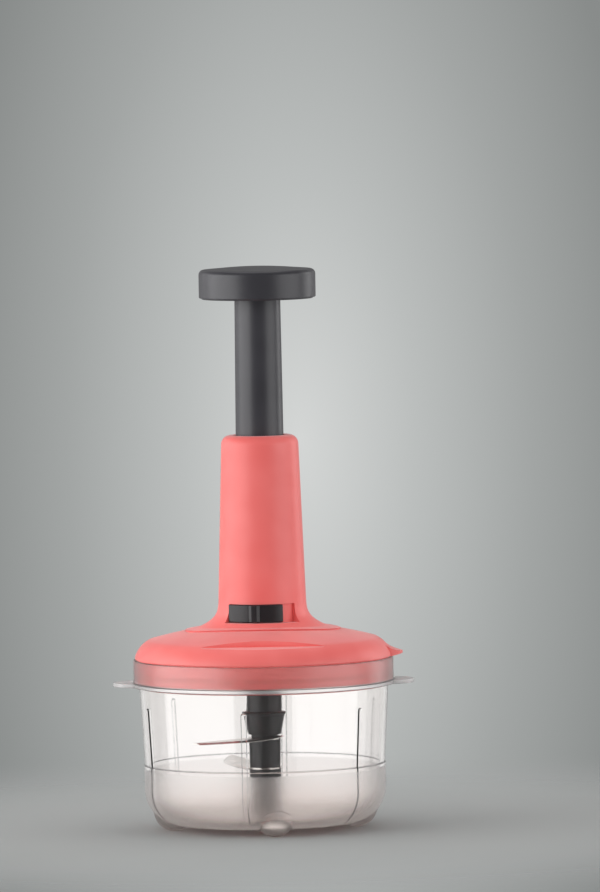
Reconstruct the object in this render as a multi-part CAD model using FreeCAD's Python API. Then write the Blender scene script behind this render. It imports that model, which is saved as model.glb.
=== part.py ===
import FreeCAD, Part
import math
import os

# Hand-pumped food chopper. Millimetres, +Z up, origin on the table under the
# bowl's axis. The front, with the lock slider, faces -Y, and +X is to the right.
# Angles of pieces round the axis are degrees from the front towards the right.

# Bowl: lower part
FOOT_HEIGHT = 2.8
FOOT_BALL = 10.0
FOOT_FLAT = 0.3
FOOT_CIRCLE = 44.0
FOOT_COUNT = 4
FOOT_ANGLE = 6.0
BASE_RADIUS = 58.0
BASE_CORNER = 17.0
BASE_WALL = 3.0
BASE_HEIGHT = 28.6
LEDGE_RISE = 0.5

# Bowl: clear wall, flange and rim band
STEP = 0.3
WALL = 2.2
WALL_HEIGHT = 38.0
WALL_FLARE = 2.1
FLANGE_THICK = 1.9
FLANGE_REACH = 3.5
SHOULDER_THICK = 1.6
RIM_STEP = 2.6
RIM_WALL = 1.8
RIM_HEIGHT = 10.9
EAR_REACH = 9.0
EAR_ROUND = 13.0
RIB_COUNT = 6
RIB_WIDTH = 2.8
RIB_DEPTH = 1.6
RIB_DROP = 10.5
RIB_FOOT = 1.4
RIB_ANGLE = -10.0

# Centre post and its pin
POST_RADIUS = 7.0
POST_HEIGHT = 18.4
PIN_RADIUS = 2.0
PIN_HOLD = 14.0
PIN_REACH = 26.0

# Blade hub
HUB_CLEARANCE = 0.4
COLLAR_RADIUS = 7.7
COLLAR_HEIGHT = 4.4
HUB_LOW_RADIUS = 7.4
HUB_TOP_RADIUS = 7.7
HUB_BASE_HEIGHT = 13.5
SPIGOT_RADIUS = 4.6
SPIGOT_HEIGHT = 7.4
SPIGOT_ROOF = 1.5
SOCKET_SEAT_RADIUS = 6.4
SOCKET_SEAT_HEIGHT = 1.5
SOCKET_LOW_RADIUS = 8.0
SOCKET_WIDE_RADIUS = 9.8
SOCKET_BODY_HEIGHT = 9.4
SOCKET_FLANGE_RADIUS = 10.3
SOCKET_FLANGE_THICK = 1.4
SOCKET_TUBE_RADIUS = 8.5
SOCKET_LID_GAP = 0.9
SOCKET_BORE = 5.9
SPLINE_COUNT = 6
SPLINE_WIDTH = 1.8
SPLINE_DEPTH = 1.2

# Blades
BLADE_THICK = 0.8
BLADE_EDGE = 0.15
BLADE_BEVEL = 2.6
BLADE_REACH = 49.6
BLADE_BELLY = 10.3
BLADE_BELLY_PLACE = 6.0
BLADE_BELLY_LENGTH = 44.5
BLADE_BELLY_POWER = 2.2
BLADE_BACK = 3.6
BLADE_RING_RADIUS = 7.95
BLADE_TIP_RISE = 0.6
BLADE_STATIONS = 7
UPPER_BLADE_ANGLE = -38.0
UPPER_ROOT_LIFT = 1.4
UPPER_TWIST_RISE = 0.2
LOWER_BLADE_ANGLE = -156.5
LOWER_ROOT_LIFT = 0.0
LOWER_TWIST_RISE = 1.5
ROOT_LIFT_POWER = 6

# Lid: dome, tower and flare between them
LID_GAP = 0.3
LID_STEP_IN = 0.8
LID_WALL = 2.2
DOME_CROWN = 16.5
DOME_EDGE_IN = 6.9
DOME_EDGE_DROP = 7.4
DOME_EDGE_BULGE = 0.8
DOME_LIP = 1.0
TOWER_HEIGHT = 90.4
TOWER_FOOT_RADIUS = 21.4
TOWER_TOP_RADIUS = 18.4
TOWER_ROUND = 4.5
MOUTH_GAP = 0.7
FLARE_FOOT_DROP = 4.0
FLARE_HEIGHT = 16.0
FLARE_SIDE = 17.0
FLARE_FRONT = 7.1
FLARE_POWER = 3.5
FLARE_SHARES = (0.0, 0.08, 0.18, 0.3, 0.45, 0.65, 1.0)
PLINTH_SIDE = 16.0
PLINTH_FRONT = 6.6
PLINTH_STEP = 0.5
TAB_REACH = 5.4
TAB_ROUND = 9.0
TAB_LIFT = 1.1
TAB_EDGE = 1.1
TAB_DISH = 3.1
TAB_DISH_PLACE = 0.8
TAB_ROOT_IN = 2.8
TAB_ROOT_HEIGHT = 5.2
NOTCH_INSET = 15.1
NOTCH_REACH = 4.0
NOTCH_DEPTH = 3.45
NOTCH_BULGE = 0.75
NOTCH_WIDTH = 64.0
NOTCH_FALL = 1.2
NOTCH_BACKING = 1.8
NOTCH_START_RISE = 0.1

# Lid: inner moulding, seal and screws
SKIRT_GAP = 0.6
SKIRT_WALL = 2.4
SKIRT_RISE = 10.8
FLOOR_LIFT = 2.0
FLOOR_THICK = 2.2
NOSE_HOLE = 9.0
SEAL_DEPTH = 1.1
SEAL_PROUD = 0.3
SEAL_HEIGHT = 2.2
SEAL_LIFT = 2.6
SCREW_COUNT = 3
LID_SCREW_CIRCLE = 40.0
LID_SCREW_ANGLE = 60.0
BARREL_SCREW_CIRCLE = 20.0
BARREL_SCREW_ANGLE = 0.0
BOSS_RADIUS = 4.0
SCREW_SHANK = 1.4
SCREW_HEAD_RADIUS = 2.8
SCREW_HEAD_HEIGHT = 1.6
LID_SCREW_GRIP = 10.0
BARREL_SCREW_GRIP = 4.0

# Guide barrel and what it carries
BARREL_BORE = 13.9
BARREL_WALL = 2.0
BARREL_FLANGE_RADIUS = 24.5
BARREL_FLANGE_THICK = 5.2
CAVITY_RADIUS = 12.0
CAVITY_HEIGHT = 7.4
WEB_THICK = 3.0
BEARING_RADIUS = 5.2
BEARING_FLANGE_RADIUS = 6.9
BEARING_FLANGE_THICK = 1.0
SEAT_BORE = 7.3
SEAT_RADIUS = 13.5
SEAT_THICK = 1.0
ASSEMBLY_GAP = 0.05
RUNNING_FIT = 0.05

# Drive
JOURNAL_RADIUS = 3.2
STRIP_HALF_WIDTH = 3.0
STRIP_HALF_THICK = 1.0
STRIP_SPARE = 8.0
TWIST_PITCH = 25.0
TWIST_GAP = 0.12
NOSE_GAP = 0.3
NOSE_DEPTH = 17.2
NOSE_FLOOR = 3.5
NOSE_HEAD_RADIUS = 7.2
NOSE_HEAD_DROP = 0.7
WASHER_RADIUS = 7.0
WASHER_THICK = 0.6
FACE_GAP = 0.1
CLIP_RADIUS = 5.4
CLIP_THICK = 0.8
CLIP_GROOVE = 0.5
CLIP_MOUTH = 4.0

# Plunger
TUBE_TOP_RADIUS = 11.0
TUBE_LOW_RADIUS = 11.6
TUBE_BORE = 8.9
TUBE_INSERT = 34.4
TUBE_SEAT = 19.0
TUBE_ROOF = 4.0
TUBE_PILOT_BOSS = 4.2
TUBE_PILOT_LENGTH = 8.0
GUIDE_RING_LIFT = 14.0
GUIDE_RING_HEIGHT = 4.0
GUIDE_GAP = 0.15
STOP_GAP = 0.3
NUT_HEIGHT = 8.0
NUT_FLANGE_RADIUS = 10.05
NUT_FLANGE_THICK = 1.6

# Knob
KNOB_GAP = 65.3
KNOB_RADIUS = 28.0
KNOB_SIDE = 14.0
KNOB_CROWN = 1.6
KNOB_ROUND = 2.5
KNOB_WALL = 2.2
KNOB_LIP = 1.2
KNOB_BASE_THICK = 2.3
KNOB_SOCKET_WALL = 2.2
KNOB_SOCKET_DEPTH = 8.3
KNOB_WEB = 2.0
KNOB_SCREW_SHANK = 1.7
KNOB_SCREW_HEAD = 3.6
KNOB_SCREW_HEAD_HEIGHT = 2.2

# Lock slider
SLOT_LIFT = 1.4
SLOT_HEIGHT = 8.8
SLOT_DEPTH = 1.4
SLOT_START_ANGLE = -48.2
SLOT_END_ANGLE = 47.0
SLIDER_START_ANGLE = -47.6
SLIDER_END_ANGLE = 27.0
SLIDER_TRAVEL_ANGLE = 19.4
SLIDER_GAP = 0.2
SLIDER_PROUD = 0.9
RIDGE_WIDTH = 3.9
RIDGE_PROUD = 1.3
FINGER_HEIGHT = 5.2
FINGER_HALF_ANGLE = 9.0
FINGER_TIP_RADIUS = 10.4
FINGER_PLAY_ANGLE = 2.0
FINGER_GAP = 0.6
LATCH_SHELF = 1.9
LATCH_GAP = 0.5
LATCH_DEPTH = 0.25

# Return spring
SPRING_MEAN_RADIUS = 7.9
SPRING_WIRE = 1.2
SPRING_COILS = 7

# Heights and radii that follow from the sizes above
bowl_under = FOOT_HEIGHT
bowl_floor = bowl_under + BASE_WALL
step_z = bowl_under + BASE_HEIGHT
ledge_z = step_z + LEDGE_RISE
wall_low_r = BASE_RADIUS - STEP
wall_top_r = wall_low_r + WALL_FLARE
flange_z = step_z + WALL_HEIGHT
flange_top = flange_z + FLANGE_THICK
flange_r = wall_top_r + FLANGE_REACH
shoulder_z = flange_z + SHOULDER_THICK
rim_r = wall_top_r + RIM_STEP
rim_bore = rim_r - RIM_WALL
rim_top = flange_top + RIM_HEIGHT
rib_top = flange_z - RIB_DROP

post_top = bowl_floor + POST_HEIGHT
pin_low = post_top - PIN_HOLD
pin_top = post_top + PIN_REACH
collar_low = post_top + HUB_CLEARANCE
lower_blade_z = collar_low + COLLAR_HEIGHT
hub_base_low = lower_blade_z + BLADE_THICK
upper_blade_z = hub_base_low + HUB_BASE_HEIGHT
socket_seat_z = upper_blade_z + BLADE_THICK
socket_low = socket_seat_z + SOCKET_SEAT_HEIGHT
spigot_top = socket_seat_z + SPIGOT_HEIGHT
socket_floor = spigot_top + SPIGOT_ROOF
socket_flange_z = socket_low + SOCKET_BODY_HEIGHT
socket_tube_z = socket_flange_z + SOCKET_FLANGE_THICK

lid_low = rim_top + LID_GAP
lid_r = rim_r - LID_STEP_IN
dome_top = lid_low + DOME_CROWN
tower_top = dome_top + TOWER_HEIGHT
skirt_low = shoulder_z + SKIRT_GAP
skirt_r = rim_bore - SKIRT_GAP
plug_floor = skirt_low + FLOOR_LIFT
plug_top = plug_floor + FLOOR_THICK
socket_top = plug_floor - SOCKET_LID_GAP
web_low = plug_top + CAVITY_HEIGHT
web_top = web_low + WEB_THICK
seat_top = web_top + SEAT_THICK
bearing_top = web_top + BEARING_FLANGE_THICK
barrel_r = BARREL_BORE + BARREL_WALL
barrel_top = tower_top - LID_WALL

tube_low = tower_top - TUBE_INSERT
knob_low = tower_top + KNOB_GAP
tube_top = knob_low + KNOB_SOCKET_DEPTH
nut_low = tube_low - NUT_FLANGE_THICK
nut_top = tube_low + NUT_HEIGHT
guide_low = tube_low + GUIDE_RING_LIFT
guide_top = guide_low + GUIDE_RING_HEIGHT
bush_low = guide_top + STOP_GAP
mouth_r = TUBE_LOW_RADIUS + MOUTH_GAP

slot_low = dome_top + SLOT_LIFT
slot_mid = slot_low + SLOT_HEIGHT / 2
finger_low = slot_mid - FINGER_HEIGHT / 2
finger_high = slot_mid + FINGER_HEIGHT / 2
finger_angle = (SLIDER_START_ANGLE + SLIDER_END_ANGLE) / 2
stroke = tube_low + LATCH_SHELF + LATCH_GAP - finger_low

clip_low = bearing_top + FACE_GAP
clip_top = clip_low + CLIP_THICK
strip_low = clip_top + FACE_GAP + CLIP_GROOVE
strip_top = nut_top + STRIP_SPARE
washer_top = web_low - FACE_GAP
washer_low = washer_top - WASHER_THICK
nose_top = washer_low - FACE_GAP
nose_neck = socket_top + NOSE_HEAD_DROP
nose_low = socket_top - NOSE_DEPTH

UP = FreeCAD.Vector(0, 0, 1)
FRONT = -90.0
ROOT_EDGE = -1.9
OVAL_LEAST = 0.01
CUT = 1.0


def at(x, y, z):
    return FreeCAD.Vector(x, y, z)


def outline(start, *steps):
    """Closed wire in the XZ plane; a step is a corner, or two points of an arc."""
    here = at(start[0], 0, start[1])
    first = here
    edges = []
    for step in steps:
        if len(step) == 2:
            there = at(step[0], 0, step[1])
            edges.append(Part.makeLine(here, there))
        else:
            there = at(step[2], 0, step[3])
            through = at(step[0], 0, step[1])
            edges.append(Part.Arc(here, through, there).toShape())
        here = there
    edges.append(Part.makeLine(here, first))
    return Part.Wire(edges)


def turned(start, *steps):
    """Solid of revolution about the axis."""
    return Part.Face(outline(start, *steps)).revolve(at(0, 0, 0), UP, 360)


def cap_drop(radius, rise, place):
    """How far a round crown of this radius and rise has dropped at a place off its top."""
    ball = (radius ** 2 + rise ** 2) / (2 * rise)
    return ball - math.sqrt(ball ** 2 - place ** 2)


def rod(radius, low, high, x=0.0, y=0.0):
    return Part.makeCylinder(radius, high - low, at(x, y, low))


def ring(outer, inner, low, high):
    return rod(outer, low, high).cut(rod(inner, low - CUT, high + CUT))


def cone(low_radius, top_radius, low, high):
    return Part.makeCone(low_radius, top_radius, high - low, at(0, 0, low))


def swung(shape, degrees):
    """Copy of a shape, turned about the axis."""
    copy = shape.copy()
    copy.rotate(at(0, 0, 0), UP, degrees)
    return copy


def sector(inner, outer, low, high, start, end):
    """Piece of a ring between two angles from the front."""
    wedge = Part.makeCylinder(outer, high - low, at(0, 0, low), UP, end - start)
    wedge = swung(wedge, FRONT + start)
    return wedge.cut(rod(inner, low - CUT, high + CUT))


def around(shape, count, first):
    """Copies of a shape that lies on +X, evenly spaced, the first at an angle from the front."""
    return [swung(shape, FRONT + first + 360.0 * k / count) for k in range(count)]


def fused(shapes):
    whole = shapes[0].multiFuse(shapes[1:])
    return whole.removeSplitter()


def twisted_bar(half_width, half_thick, low, high):
    """Flat bar twisted about the axis; its angle depends on the height alone."""
    height = high - low
    spine = Part.Wire([Part.makeLine(at(0, 0, 0), at(0, 0, height))])
    corners = [(1, 1), (-1, 1), (-1, -1), (1, -1), (1, 1)]
    profile = Part.makePolygon([at(half_width * a, half_thick * b, 0) for a, b in corners])
    sweep = Part.BRepOffsetAPI.MakePipeShell(spine)
    sweep.setAuxiliarySpine(Part.makeHelix(TWIST_PITCH, height, half_width), True, 0)
    sweep.add(Part.Wire(profile))
    sweep.build()
    sweep.makeSolid()
    bar = sweep.shape()
    bar.translate(at(0, 0, low))
    return swung(bar, 360.0 * low / TWIST_PITCH)


def splines(count, half_width, inner, outer, low, high):
    """Straight bars round the axis, from one radius to another."""
    bar = Part.makeBox(outer - inner, 2 * half_width, high - low, at(inner, -half_width, low))
    return around(bar, count, 0.0)


# Bowl

def bowl_cavity():
    corner = BASE_CORNER - BASE_WALL
    turn_z = bowl_under + BASE_CORNER
    turn_r = BASE_RADIUS - BASE_CORNER
    slant = corner * math.sqrt(0.5)
    base_r = BASE_RADIUS - BASE_WALL
    return turned(
        (0, bowl_floor),
        (turn_r, bowl_floor),
        (turn_r + slant, turn_z - slant, base_r, turn_z),
        (base_r, ledge_z),
        (wall_low_r - WALL, ledge_z),
        (wall_top_r - WALL, shoulder_z),
        (0, shoulder_z),
    )


def bowl_body():
    turn_z = bowl_under + BASE_CORNER
    turn_r = BASE_RADIUS - BASE_CORNER
    slant = BASE_CORNER * math.sqrt(0.5)
    return turned(
        (0, bowl_under),
        (turn_r, bowl_under),
        (turn_r + slant, turn_z - slant, BASE_RADIUS, turn_z),
        (BASE_RADIUS, step_z),
        (wall_low_r, step_z + STEP),
        (wall_top_r, flange_z),
        (flange_r, flange_z),
        (flange_r, flange_top),
        (rim_r, flange_top),
        (rim_r, rim_top),
        (0, rim_top),
    )


def bowl_ears():
    centre = flange_r + EAR_REACH - EAR_ROUND
    return [rod(EAR_ROUND, flange_z, flange_top, side * centre) for side in (-1, 1)]


def bowl_feet():
    ball = Part.makeSphere(FOOT_BALL, at(FOOT_CIRCLE, 0, FOOT_BALL - FOOT_FLAT))
    reach = FOOT_CIRCLE + FOOT_BALL
    return around(ball.cut(rod(reach, -FOOT_FLAT - CUT, 0)), FOOT_COUNT, FOOT_ANGLE)


def bowl_ribs():
    """Bars down the outside of the wall and round the corner of the base, rounded at their tops."""
    turn_z = bowl_under + BASE_CORNER
    turn_r = BASE_RADIUS - BASE_CORNER
    corner = BASE_CORNER + RIB_DEPTH
    slant = corner * math.sqrt(0.5)
    high = rib_top + RIB_WIDTH
    skin = turned(
        (turn_r, turn_z - corner),
        (turn_r + slant, turn_z - slant, BASE_RADIUS + RIB_DEPTH, turn_z),
        (BASE_RADIUS + RIB_DEPTH, step_z),
        (wall_top_r + RIB_DEPTH, high),
        (turn_r, high),
    )
    low = bowl_under + RIB_FOOT
    reach = flange_r
    blank = Part.makeBox(reach, RIB_WIDTH, rib_top - low, at(0, -RIB_WIDTH / 2, low))
    crown = Part.makeCylinder(RIB_WIDTH / 2, reach, at(0, 0, rib_top), at(1, 0, 0))
    return around(blank.fuse(crown).common(skin), RIB_COUNT, RIB_ANGLE)


def bowl():
    shell = bowl_body().cut(rod(rim_bore, shoulder_z, rim_top + CUT))
    shell = shell.fuse(bowl_ears() + bowl_feet() + bowl_ribs())
    shell = shell.cut(bowl_cavity())
    post = rod(POST_RADIUS, bowl_floor - BASE_WALL / 2, post_top)
    return fused([shell, post]).cut(rod(PIN_RADIUS, pin_low, post_top + CUT))


def pivot_pin():
    pin = rod(PIN_RADIUS, pin_low, pin_top)
    return pin.makeChamfer(PIN_RADIUS / 4, [pin.Edges[0], pin.Edges[2]])


# Blade hub and blades, which turn on the pin

def hub_foot():
    collar = rod(COLLAR_RADIUS, collar_low, lower_blade_z)
    spigot = rod(SPIGOT_RADIUS, lower_blade_z, lower_blade_z + SPIGOT_HEIGHT)
    return collar.fuse(spigot).cut(rod(PIN_RADIUS + RUNNING_FIT, 0, pin_top)).removeSplitter()


def hub_base():
    body = cone(HUB_LOW_RADIUS, HUB_TOP_RADIUS, hub_base_low, upper_blade_z)
    spigot = rod(SPIGOT_RADIUS, upper_blade_z, spigot_top)
    pocket = rod(SPIGOT_RADIUS + ASSEMBLY_GAP, 0, lower_blade_z + SPIGOT_HEIGHT + ASSEMBLY_GAP)
    bore = rod(PIN_RADIUS + RUNNING_FIT, 0, spigot_top + CUT)
    return body.fuse(spigot).cut(pocket).cut(bore).removeSplitter()


def hub_socket():
    seat = rod(SOCKET_SEAT_RADIUS, socket_seat_z, socket_low)
    body = cone(SOCKET_LOW_RADIUS, SOCKET_WIDE_RADIUS, socket_low, socket_flange_z)
    flange = rod(SOCKET_FLANGE_RADIUS, socket_flange_z, socket_tube_z)
    tube = rod(SOCKET_TUBE_RADIUS, socket_tube_z, socket_top)
    whole = fused([seat, body, flange, tube])
    whole = whole.cut(rod(SPIGOT_RADIUS + ASSEMBLY_GAP, 0, spigot_top + ASSEMBLY_GAP))
    whole = whole.cut(rod(SOCKET_BORE, socket_floor, socket_top + CUT))
    tips = SOCKET_BORE - SPLINE_DEPTH
    root = (SOCKET_BORE + SOCKET_TUBE_RADIUS) / 2
    teeth = splines(SPLINE_COUNT, SPLINE_WIDTH / 2, tips, root, socket_floor, socket_top - CUT)
    return fused([whole] + teeth)


def blade_section(share, root_lift, twist_rise):
    """Five-cornered section of a blade: flat back, bevelled front edge."""
    reach = ROOT_EDGE + share * (BLADE_REACH - ROOT_EDGE)
    off_belly = abs(reach - BLADE_BELLY_PLACE) / BLADE_BELLY_LENGTH
    belly = BLADE_BELLY * (1 - off_belly ** BLADE_BELLY_POWER)
    back_reach = max(reach, BLADE_RING_RADIUS / 2 + share * (BLADE_REACH - BLADE_RING_RADIUS))
    edge_rise = BLADE_TIP_RISE * share + root_lift * (1 - share) ** ROOT_LIFT_POWER
    back_rise = BLADE_TIP_RISE * share + twist_rise * share
    edge = at(reach, belly, edge_rise)
    back = at(back_reach, -BLADE_BACK, back_rise)
    bevel = edge + (back - edge).normalize() * min(BLADE_BEVEL, (back - edge).Length / 2)
    thick = UP * BLADE_THICK
    corners = [edge, edge + UP * BLADE_EDGE, bevel + thick, back + thick, back]
    return Part.makePolygon(corners + [edge])


def blade(turn, low, root_lift, twist_rise):
    """Sickle blade with a clamping ring round the hub; turn is the angle of its tip."""
    shares = [k / (BLADE_STATIONS - 1) for k in range(BLADE_STATIONS)]
    wing = Part.makeLoft([blade_section(s, root_lift, twist_rise) for s in shares], True, False)
    wing = wing.cut(rod(HUB_TOP_RADIUS + 2 * ASSEMBLY_GAP, -CUT, SOCKET_BODY_HEIGHT))
    clamp = rod(BLADE_RING_RADIUS, 0, BLADE_THICK)
    whole = clamp.fuse(wing).cut(rod(SPIGOT_RADIUS + ASSEMBLY_GAP, -CUT, BLADE_THICK + CUT))
    whole.translate(at(0, 0, low))
    return swung(whole.removeSplitter(), FRONT + turn)


def blade_upper():
    return blade(UPPER_BLADE_ANGLE, upper_blade_z, UPPER_ROOT_LIFT, UPPER_TWIST_RISE)


def blade_lower():
    return blade(LOWER_BLADE_ANGLE, lower_blade_z, LOWER_ROOT_LIFT, LOWER_TWIST_RISE)


# Lid

def dome_height(radius, inset):
    """Height of the dome's outside at a radius, or of its inside where the inset is the wall."""
    return dome_top - inset - cap_drop(lid_r - DOME_EDGE_IN, DOME_EDGE_DROP, radius)


def dome_edge(inset):
    """Shoulder of the dome: its inner end, a point on its arc, and its end above the rim."""
    edge_r = lid_r - DOME_EDGE_IN - inset
    edge_z = dome_height(edge_r, inset)
    lip_z = lid_low + DOME_LIP
    mid_r = (edge_r + lid_r - inset) / 2 + DOME_EDGE_BULGE
    mid_z = (edge_z + lip_z) / 2 + DOME_EDGE_BULGE
    return (edge_r, edge_z), (mid_r, mid_z), (lid_r - inset, lip_z)


def tower_radius(height):
    share = (height - dome_top) / TOWER_HEIGHT
    return TOWER_FOOT_RADIUS + share * (TOWER_TOP_RADIUS - TOWER_FOOT_RADIUS)


def lid_skin():
    """Dome and tower, turned as one wall with its mouth and its open underside."""
    edge, edge_mid, lip = dome_edge(0.0)
    inner_edge, inner_mid, inner_lip = dome_edge(LID_WALL)
    foot_r = TOWER_FOOT_RADIUS
    inner_foot_r = foot_r - LID_WALL
    crown_r = (edge[0] + foot_r) / 2
    round_z = tower_top - TOWER_ROUND
    top_r = tower_radius(round_z)
    slant = TOWER_ROUND * (1 - math.sqrt(0.5))
    return turned(
        (lid_r, lid_low),
        lip,
        edge_mid + edge,
        (crown_r, dome_height(crown_r, 0.0), foot_r, dome_height(foot_r, 0.0)),
        (top_r, round_z),
        (top_r - slant, tower_top - slant, top_r - TOWER_ROUND, tower_top),
        (mouth_r, tower_top),
        (mouth_r, barrel_top),
        (tower_radius(barrel_top) - LID_WALL, barrel_top),
        (inner_foot_r, dome_height(inner_foot_r, LID_WALL)),
        (crown_r, dome_height(crown_r, LID_WALL)) + inner_edge,
        inner_mid + inner_lip,
        (lid_r - LID_WALL, lid_low),
    )


def flare_section(share):
    """Ellipse of the flare at a share of its height."""
    height = dome_top - FLARE_FOOT_DROP + share * FLARE_HEIGHT
    spread = (1 - share) ** FLARE_POWER
    radius = tower_radius(max(height, dome_top))
    side = radius + FLARE_SIDE * spread + OVAL_LEAST
    front = radius + FLARE_FRONT * spread
    oval = Part.Ellipse(at(0, 0, height), side, front)
    return Part.Wire([oval.toShape()])


def flare():
    return Part.makeLoft([flare_section(s) for s in FLARE_SHARES], True)


def dome_body(raised):
    """Solid under the dome's outside, or under a surface raised above it."""
    edge, edge_mid, lip = dome_edge(0.0)
    crown_r = edge[0] / 2
    body = turned(
        (0, lid_low),
        (lid_r, lid_low),
        lip,
        edge_mid + edge,
        (crown_r, dome_height(crown_r, 0.0), 0, dome_top),
    )
    body.translate(at(0, 0, raised))
    return body


def plinth():
    """Low step round the foot of the flare."""
    oval = Part.Ellipse(at(0, 0, lid_low), TOWER_FOOT_RADIUS + PLINTH_SIDE, TOWER_FOOT_RADIUS + PLINTH_FRONT)
    prism = Part.Face(Part.Wire([oval.toShape()])).extrude(at(0, 0, TOWER_HEIGHT))
    return prism.common(dome_body(PLINTH_STEP)).cut(dome_body(-LID_WALL / 2))


def across(profile, width):
    """Bar with a given outline, as wide as told, centred on the XZ plane."""
    bar = Part.Face(profile).extrude(at(0, width, 0))
    bar.translate(at(0, -width / 2, 0))
    return bar


def notch(sunk):
    """Thumb recess across the front: a rolled edge above a flat ledge; sunk below it, its backing."""
    back = lid_r - NOTCH_INSET - sunk
    top = dome_top + CUT
    back_z = dome_height(lid_r - NOTCH_INSET, 0.0) + NOTCH_START_RISE - sunk
    corner = (back + NOTCH_REACH, back_z - NOTCH_DEPTH)
    swell = ((back + corner[0]) / 2 + NOTCH_BULGE, (back_z + corner[1]) / 2 + NOTCH_BULGE)
    profile = outline(
        (back, top),
        (back, back_z),
        swell + corner,
        (lid_r + CUT, corner[1] - NOTCH_FALL),
        (lid_r + CUT, top),
    )
    return swung(across(profile, NOTCH_WIDTH), FRONT)


def pull_tab():
    """Finger tab on the right of the lid's edge, dished on top where it leaves the dome."""
    tip_r = lid_r + TAB_REACH
    root_r = lid_r - TAB_ROOT_IN
    root_z = lid_low + TAB_ROOT_HEIGHT
    profile = outline(
        (TOWER_FOOT_RADIUS, lid_low),
        (lid_r, lid_low),
        (tip_r, lid_low + TAB_LIFT),
        (tip_r, lid_low + TAB_LIFT + TAB_EDGE),
        (lid_r + TAB_DISH_PLACE, lid_low + TAB_DISH, root_r, root_z),
        (TOWER_FOOT_RADIUS, root_z),
    )
    disc = rod(TAB_ROUND, lid_low, root_z, tip_r - TAB_ROUND)
    return across(profile, 2 * TAB_ROUND).common(disc).cut(rod(lid_r - LID_WALL / 2, 0, tower_top))


def screw_spots(circle, first):
    """Centres of screws on a circle."""
    angles = [math.radians(FRONT + first + 360.0 * k / SCREW_COUNT) for k in range(SCREW_COUNT)]
    return [(circle * math.cos(a), circle * math.sin(a)) for a in angles]


def lid_shell():
    collar = flare().fuse(plinth()).cut(rod(TOWER_FOOT_RADIUS - LID_WALL / 2, 0, tower_top))
    backing = notch(NOTCH_BACKING).common(dome_body(0.0))
    shell = fused([lid_skin(), collar, pull_tab(), backing])
    boss_roof = dome_height(LID_SCREW_CIRCLE + BOSS_RADIUS, LID_WALL / 2)
    spots = screw_spots(LID_SCREW_CIRCLE, LID_SCREW_ANGLE)
    shell = fused([shell] + [rod(BOSS_RADIUS, plug_top, boss_roof, x, y) for x, y in spots])
    pilots = [rod(SCREW_SHANK, plug_top - CUT, plug_top + LID_SCREW_GRIP, x, y) for x, y in spots]
    slot_r = tower_radius(slot_mid) - SLOT_DEPTH
    reach = TOWER_FOOT_RADIUS + FLARE_SIDE
    track = sector(slot_r, reach, slot_low, slot_low + SLOT_HEIGHT, SLOT_START_ANGLE, SLOT_END_ANGLE)
    shell = shell.cut(pilots + [notch(0.0), track, finger_window(0.0, reach)])
    return shell.removeSplitter()


def lid_plug():
    skirt_top = skirt_low + SKIRT_RISE
    inner = skirt_r - SKIRT_WALL
    body = rod(skirt_r, skirt_low, skirt_top)
    body = body.cut(rod(inner, skirt_low - CUT, plug_floor))
    body = body.cut(rod(inner, plug_top, skirt_top + CUT))
    body = body.cut(rod(NOSE_HOLE, skirt_low, skirt_top))
    seal_low = skirt_low + SEAL_LIFT
    groove = ring(skirt_r + CUT, skirt_r - SEAL_DEPTH, seal_low, seal_low + SEAL_HEIGHT)
    spots = screw_spots(LID_SCREW_CIRCLE, LID_SCREW_ANGLE)
    spots += screw_spots(BARREL_SCREW_CIRCLE, BARREL_SCREW_ANGLE)
    holes = [rod(SCREW_SHANK, skirt_low, skirt_top, x, y) for x, y in spots]
    return body.cut([groove] + holes)


def lid_seal():
    low = skirt_low + SEAL_LIFT
    return ring(skirt_r + SEAL_PROUD, skirt_r - SEAL_DEPTH, low, low + SEAL_HEIGHT)


def screws(circle, first, grip):
    """Pan-head screws, put in from below the lid's floor."""
    made = []
    for x, y in screw_spots(circle, first):
        shank = rod(SCREW_SHANK, plug_floor, plug_top + grip, x, y)
        head = rod(SCREW_HEAD_RADIUS, plug_floor - SCREW_HEAD_HEIGHT, plug_floor, x, y)
        made.append(shank.fuse(head).removeSplitter())
    return Part.makeCompound(made)


def lid_screws():
    return screws(LID_SCREW_CIRCLE, LID_SCREW_ANGLE, LID_SCREW_GRIP)


def barrel_screws():
    return screws(BARREL_SCREW_CIRCLE, BARREL_SCREW_ANGLE, BARREL_SCREW_GRIP)


# Guide barrel and the pieces in it

def finger_window(inner, outer):
    """Window that the lock's finger sweeps through."""
    start = finger_angle - FINGER_HALF_ANGLE - FINGER_PLAY_ANGLE
    end = finger_angle + FINGER_HALF_ANGLE + FINGER_PLAY_ANGLE + SLIDER_TRAVEL_ANGLE
    return sector(inner, outer, finger_low - FINGER_GAP, finger_high + FINGER_GAP, start, end)


def guide_barrel():
    flange = rod(BARREL_FLANGE_RADIUS, plug_top, plug_top + BARREL_FLANGE_THICK)
    body = fused([rod(barrel_r, plug_top, barrel_top), flange])
    body = body.cut(rod(BARREL_BORE, web_top, barrel_top + CUT))
    body = body.cut(rod(CAVITY_RADIUS, plug_top - CUT, web_low))
    body = body.cut(rod(BEARING_RADIUS, web_low - CUT, web_top + CUT))
    spots = screw_spots(BARREL_SCREW_CIRCLE, BARREL_SCREW_ANGLE)
    pilots = [rod(SCREW_SHANK, plug_top - CUT, plug_top + BARREL_SCREW_GRIP, x, y) for x, y in spots]
    return body.cut(pilots + [finger_window(0.0, barrel_r + CUT)])


def mouth_bush():
    return ring(BARREL_BORE - ASSEMBLY_GAP, TUBE_LOW_RADIUS + GUIDE_GAP, bush_low, barrel_top)


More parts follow.
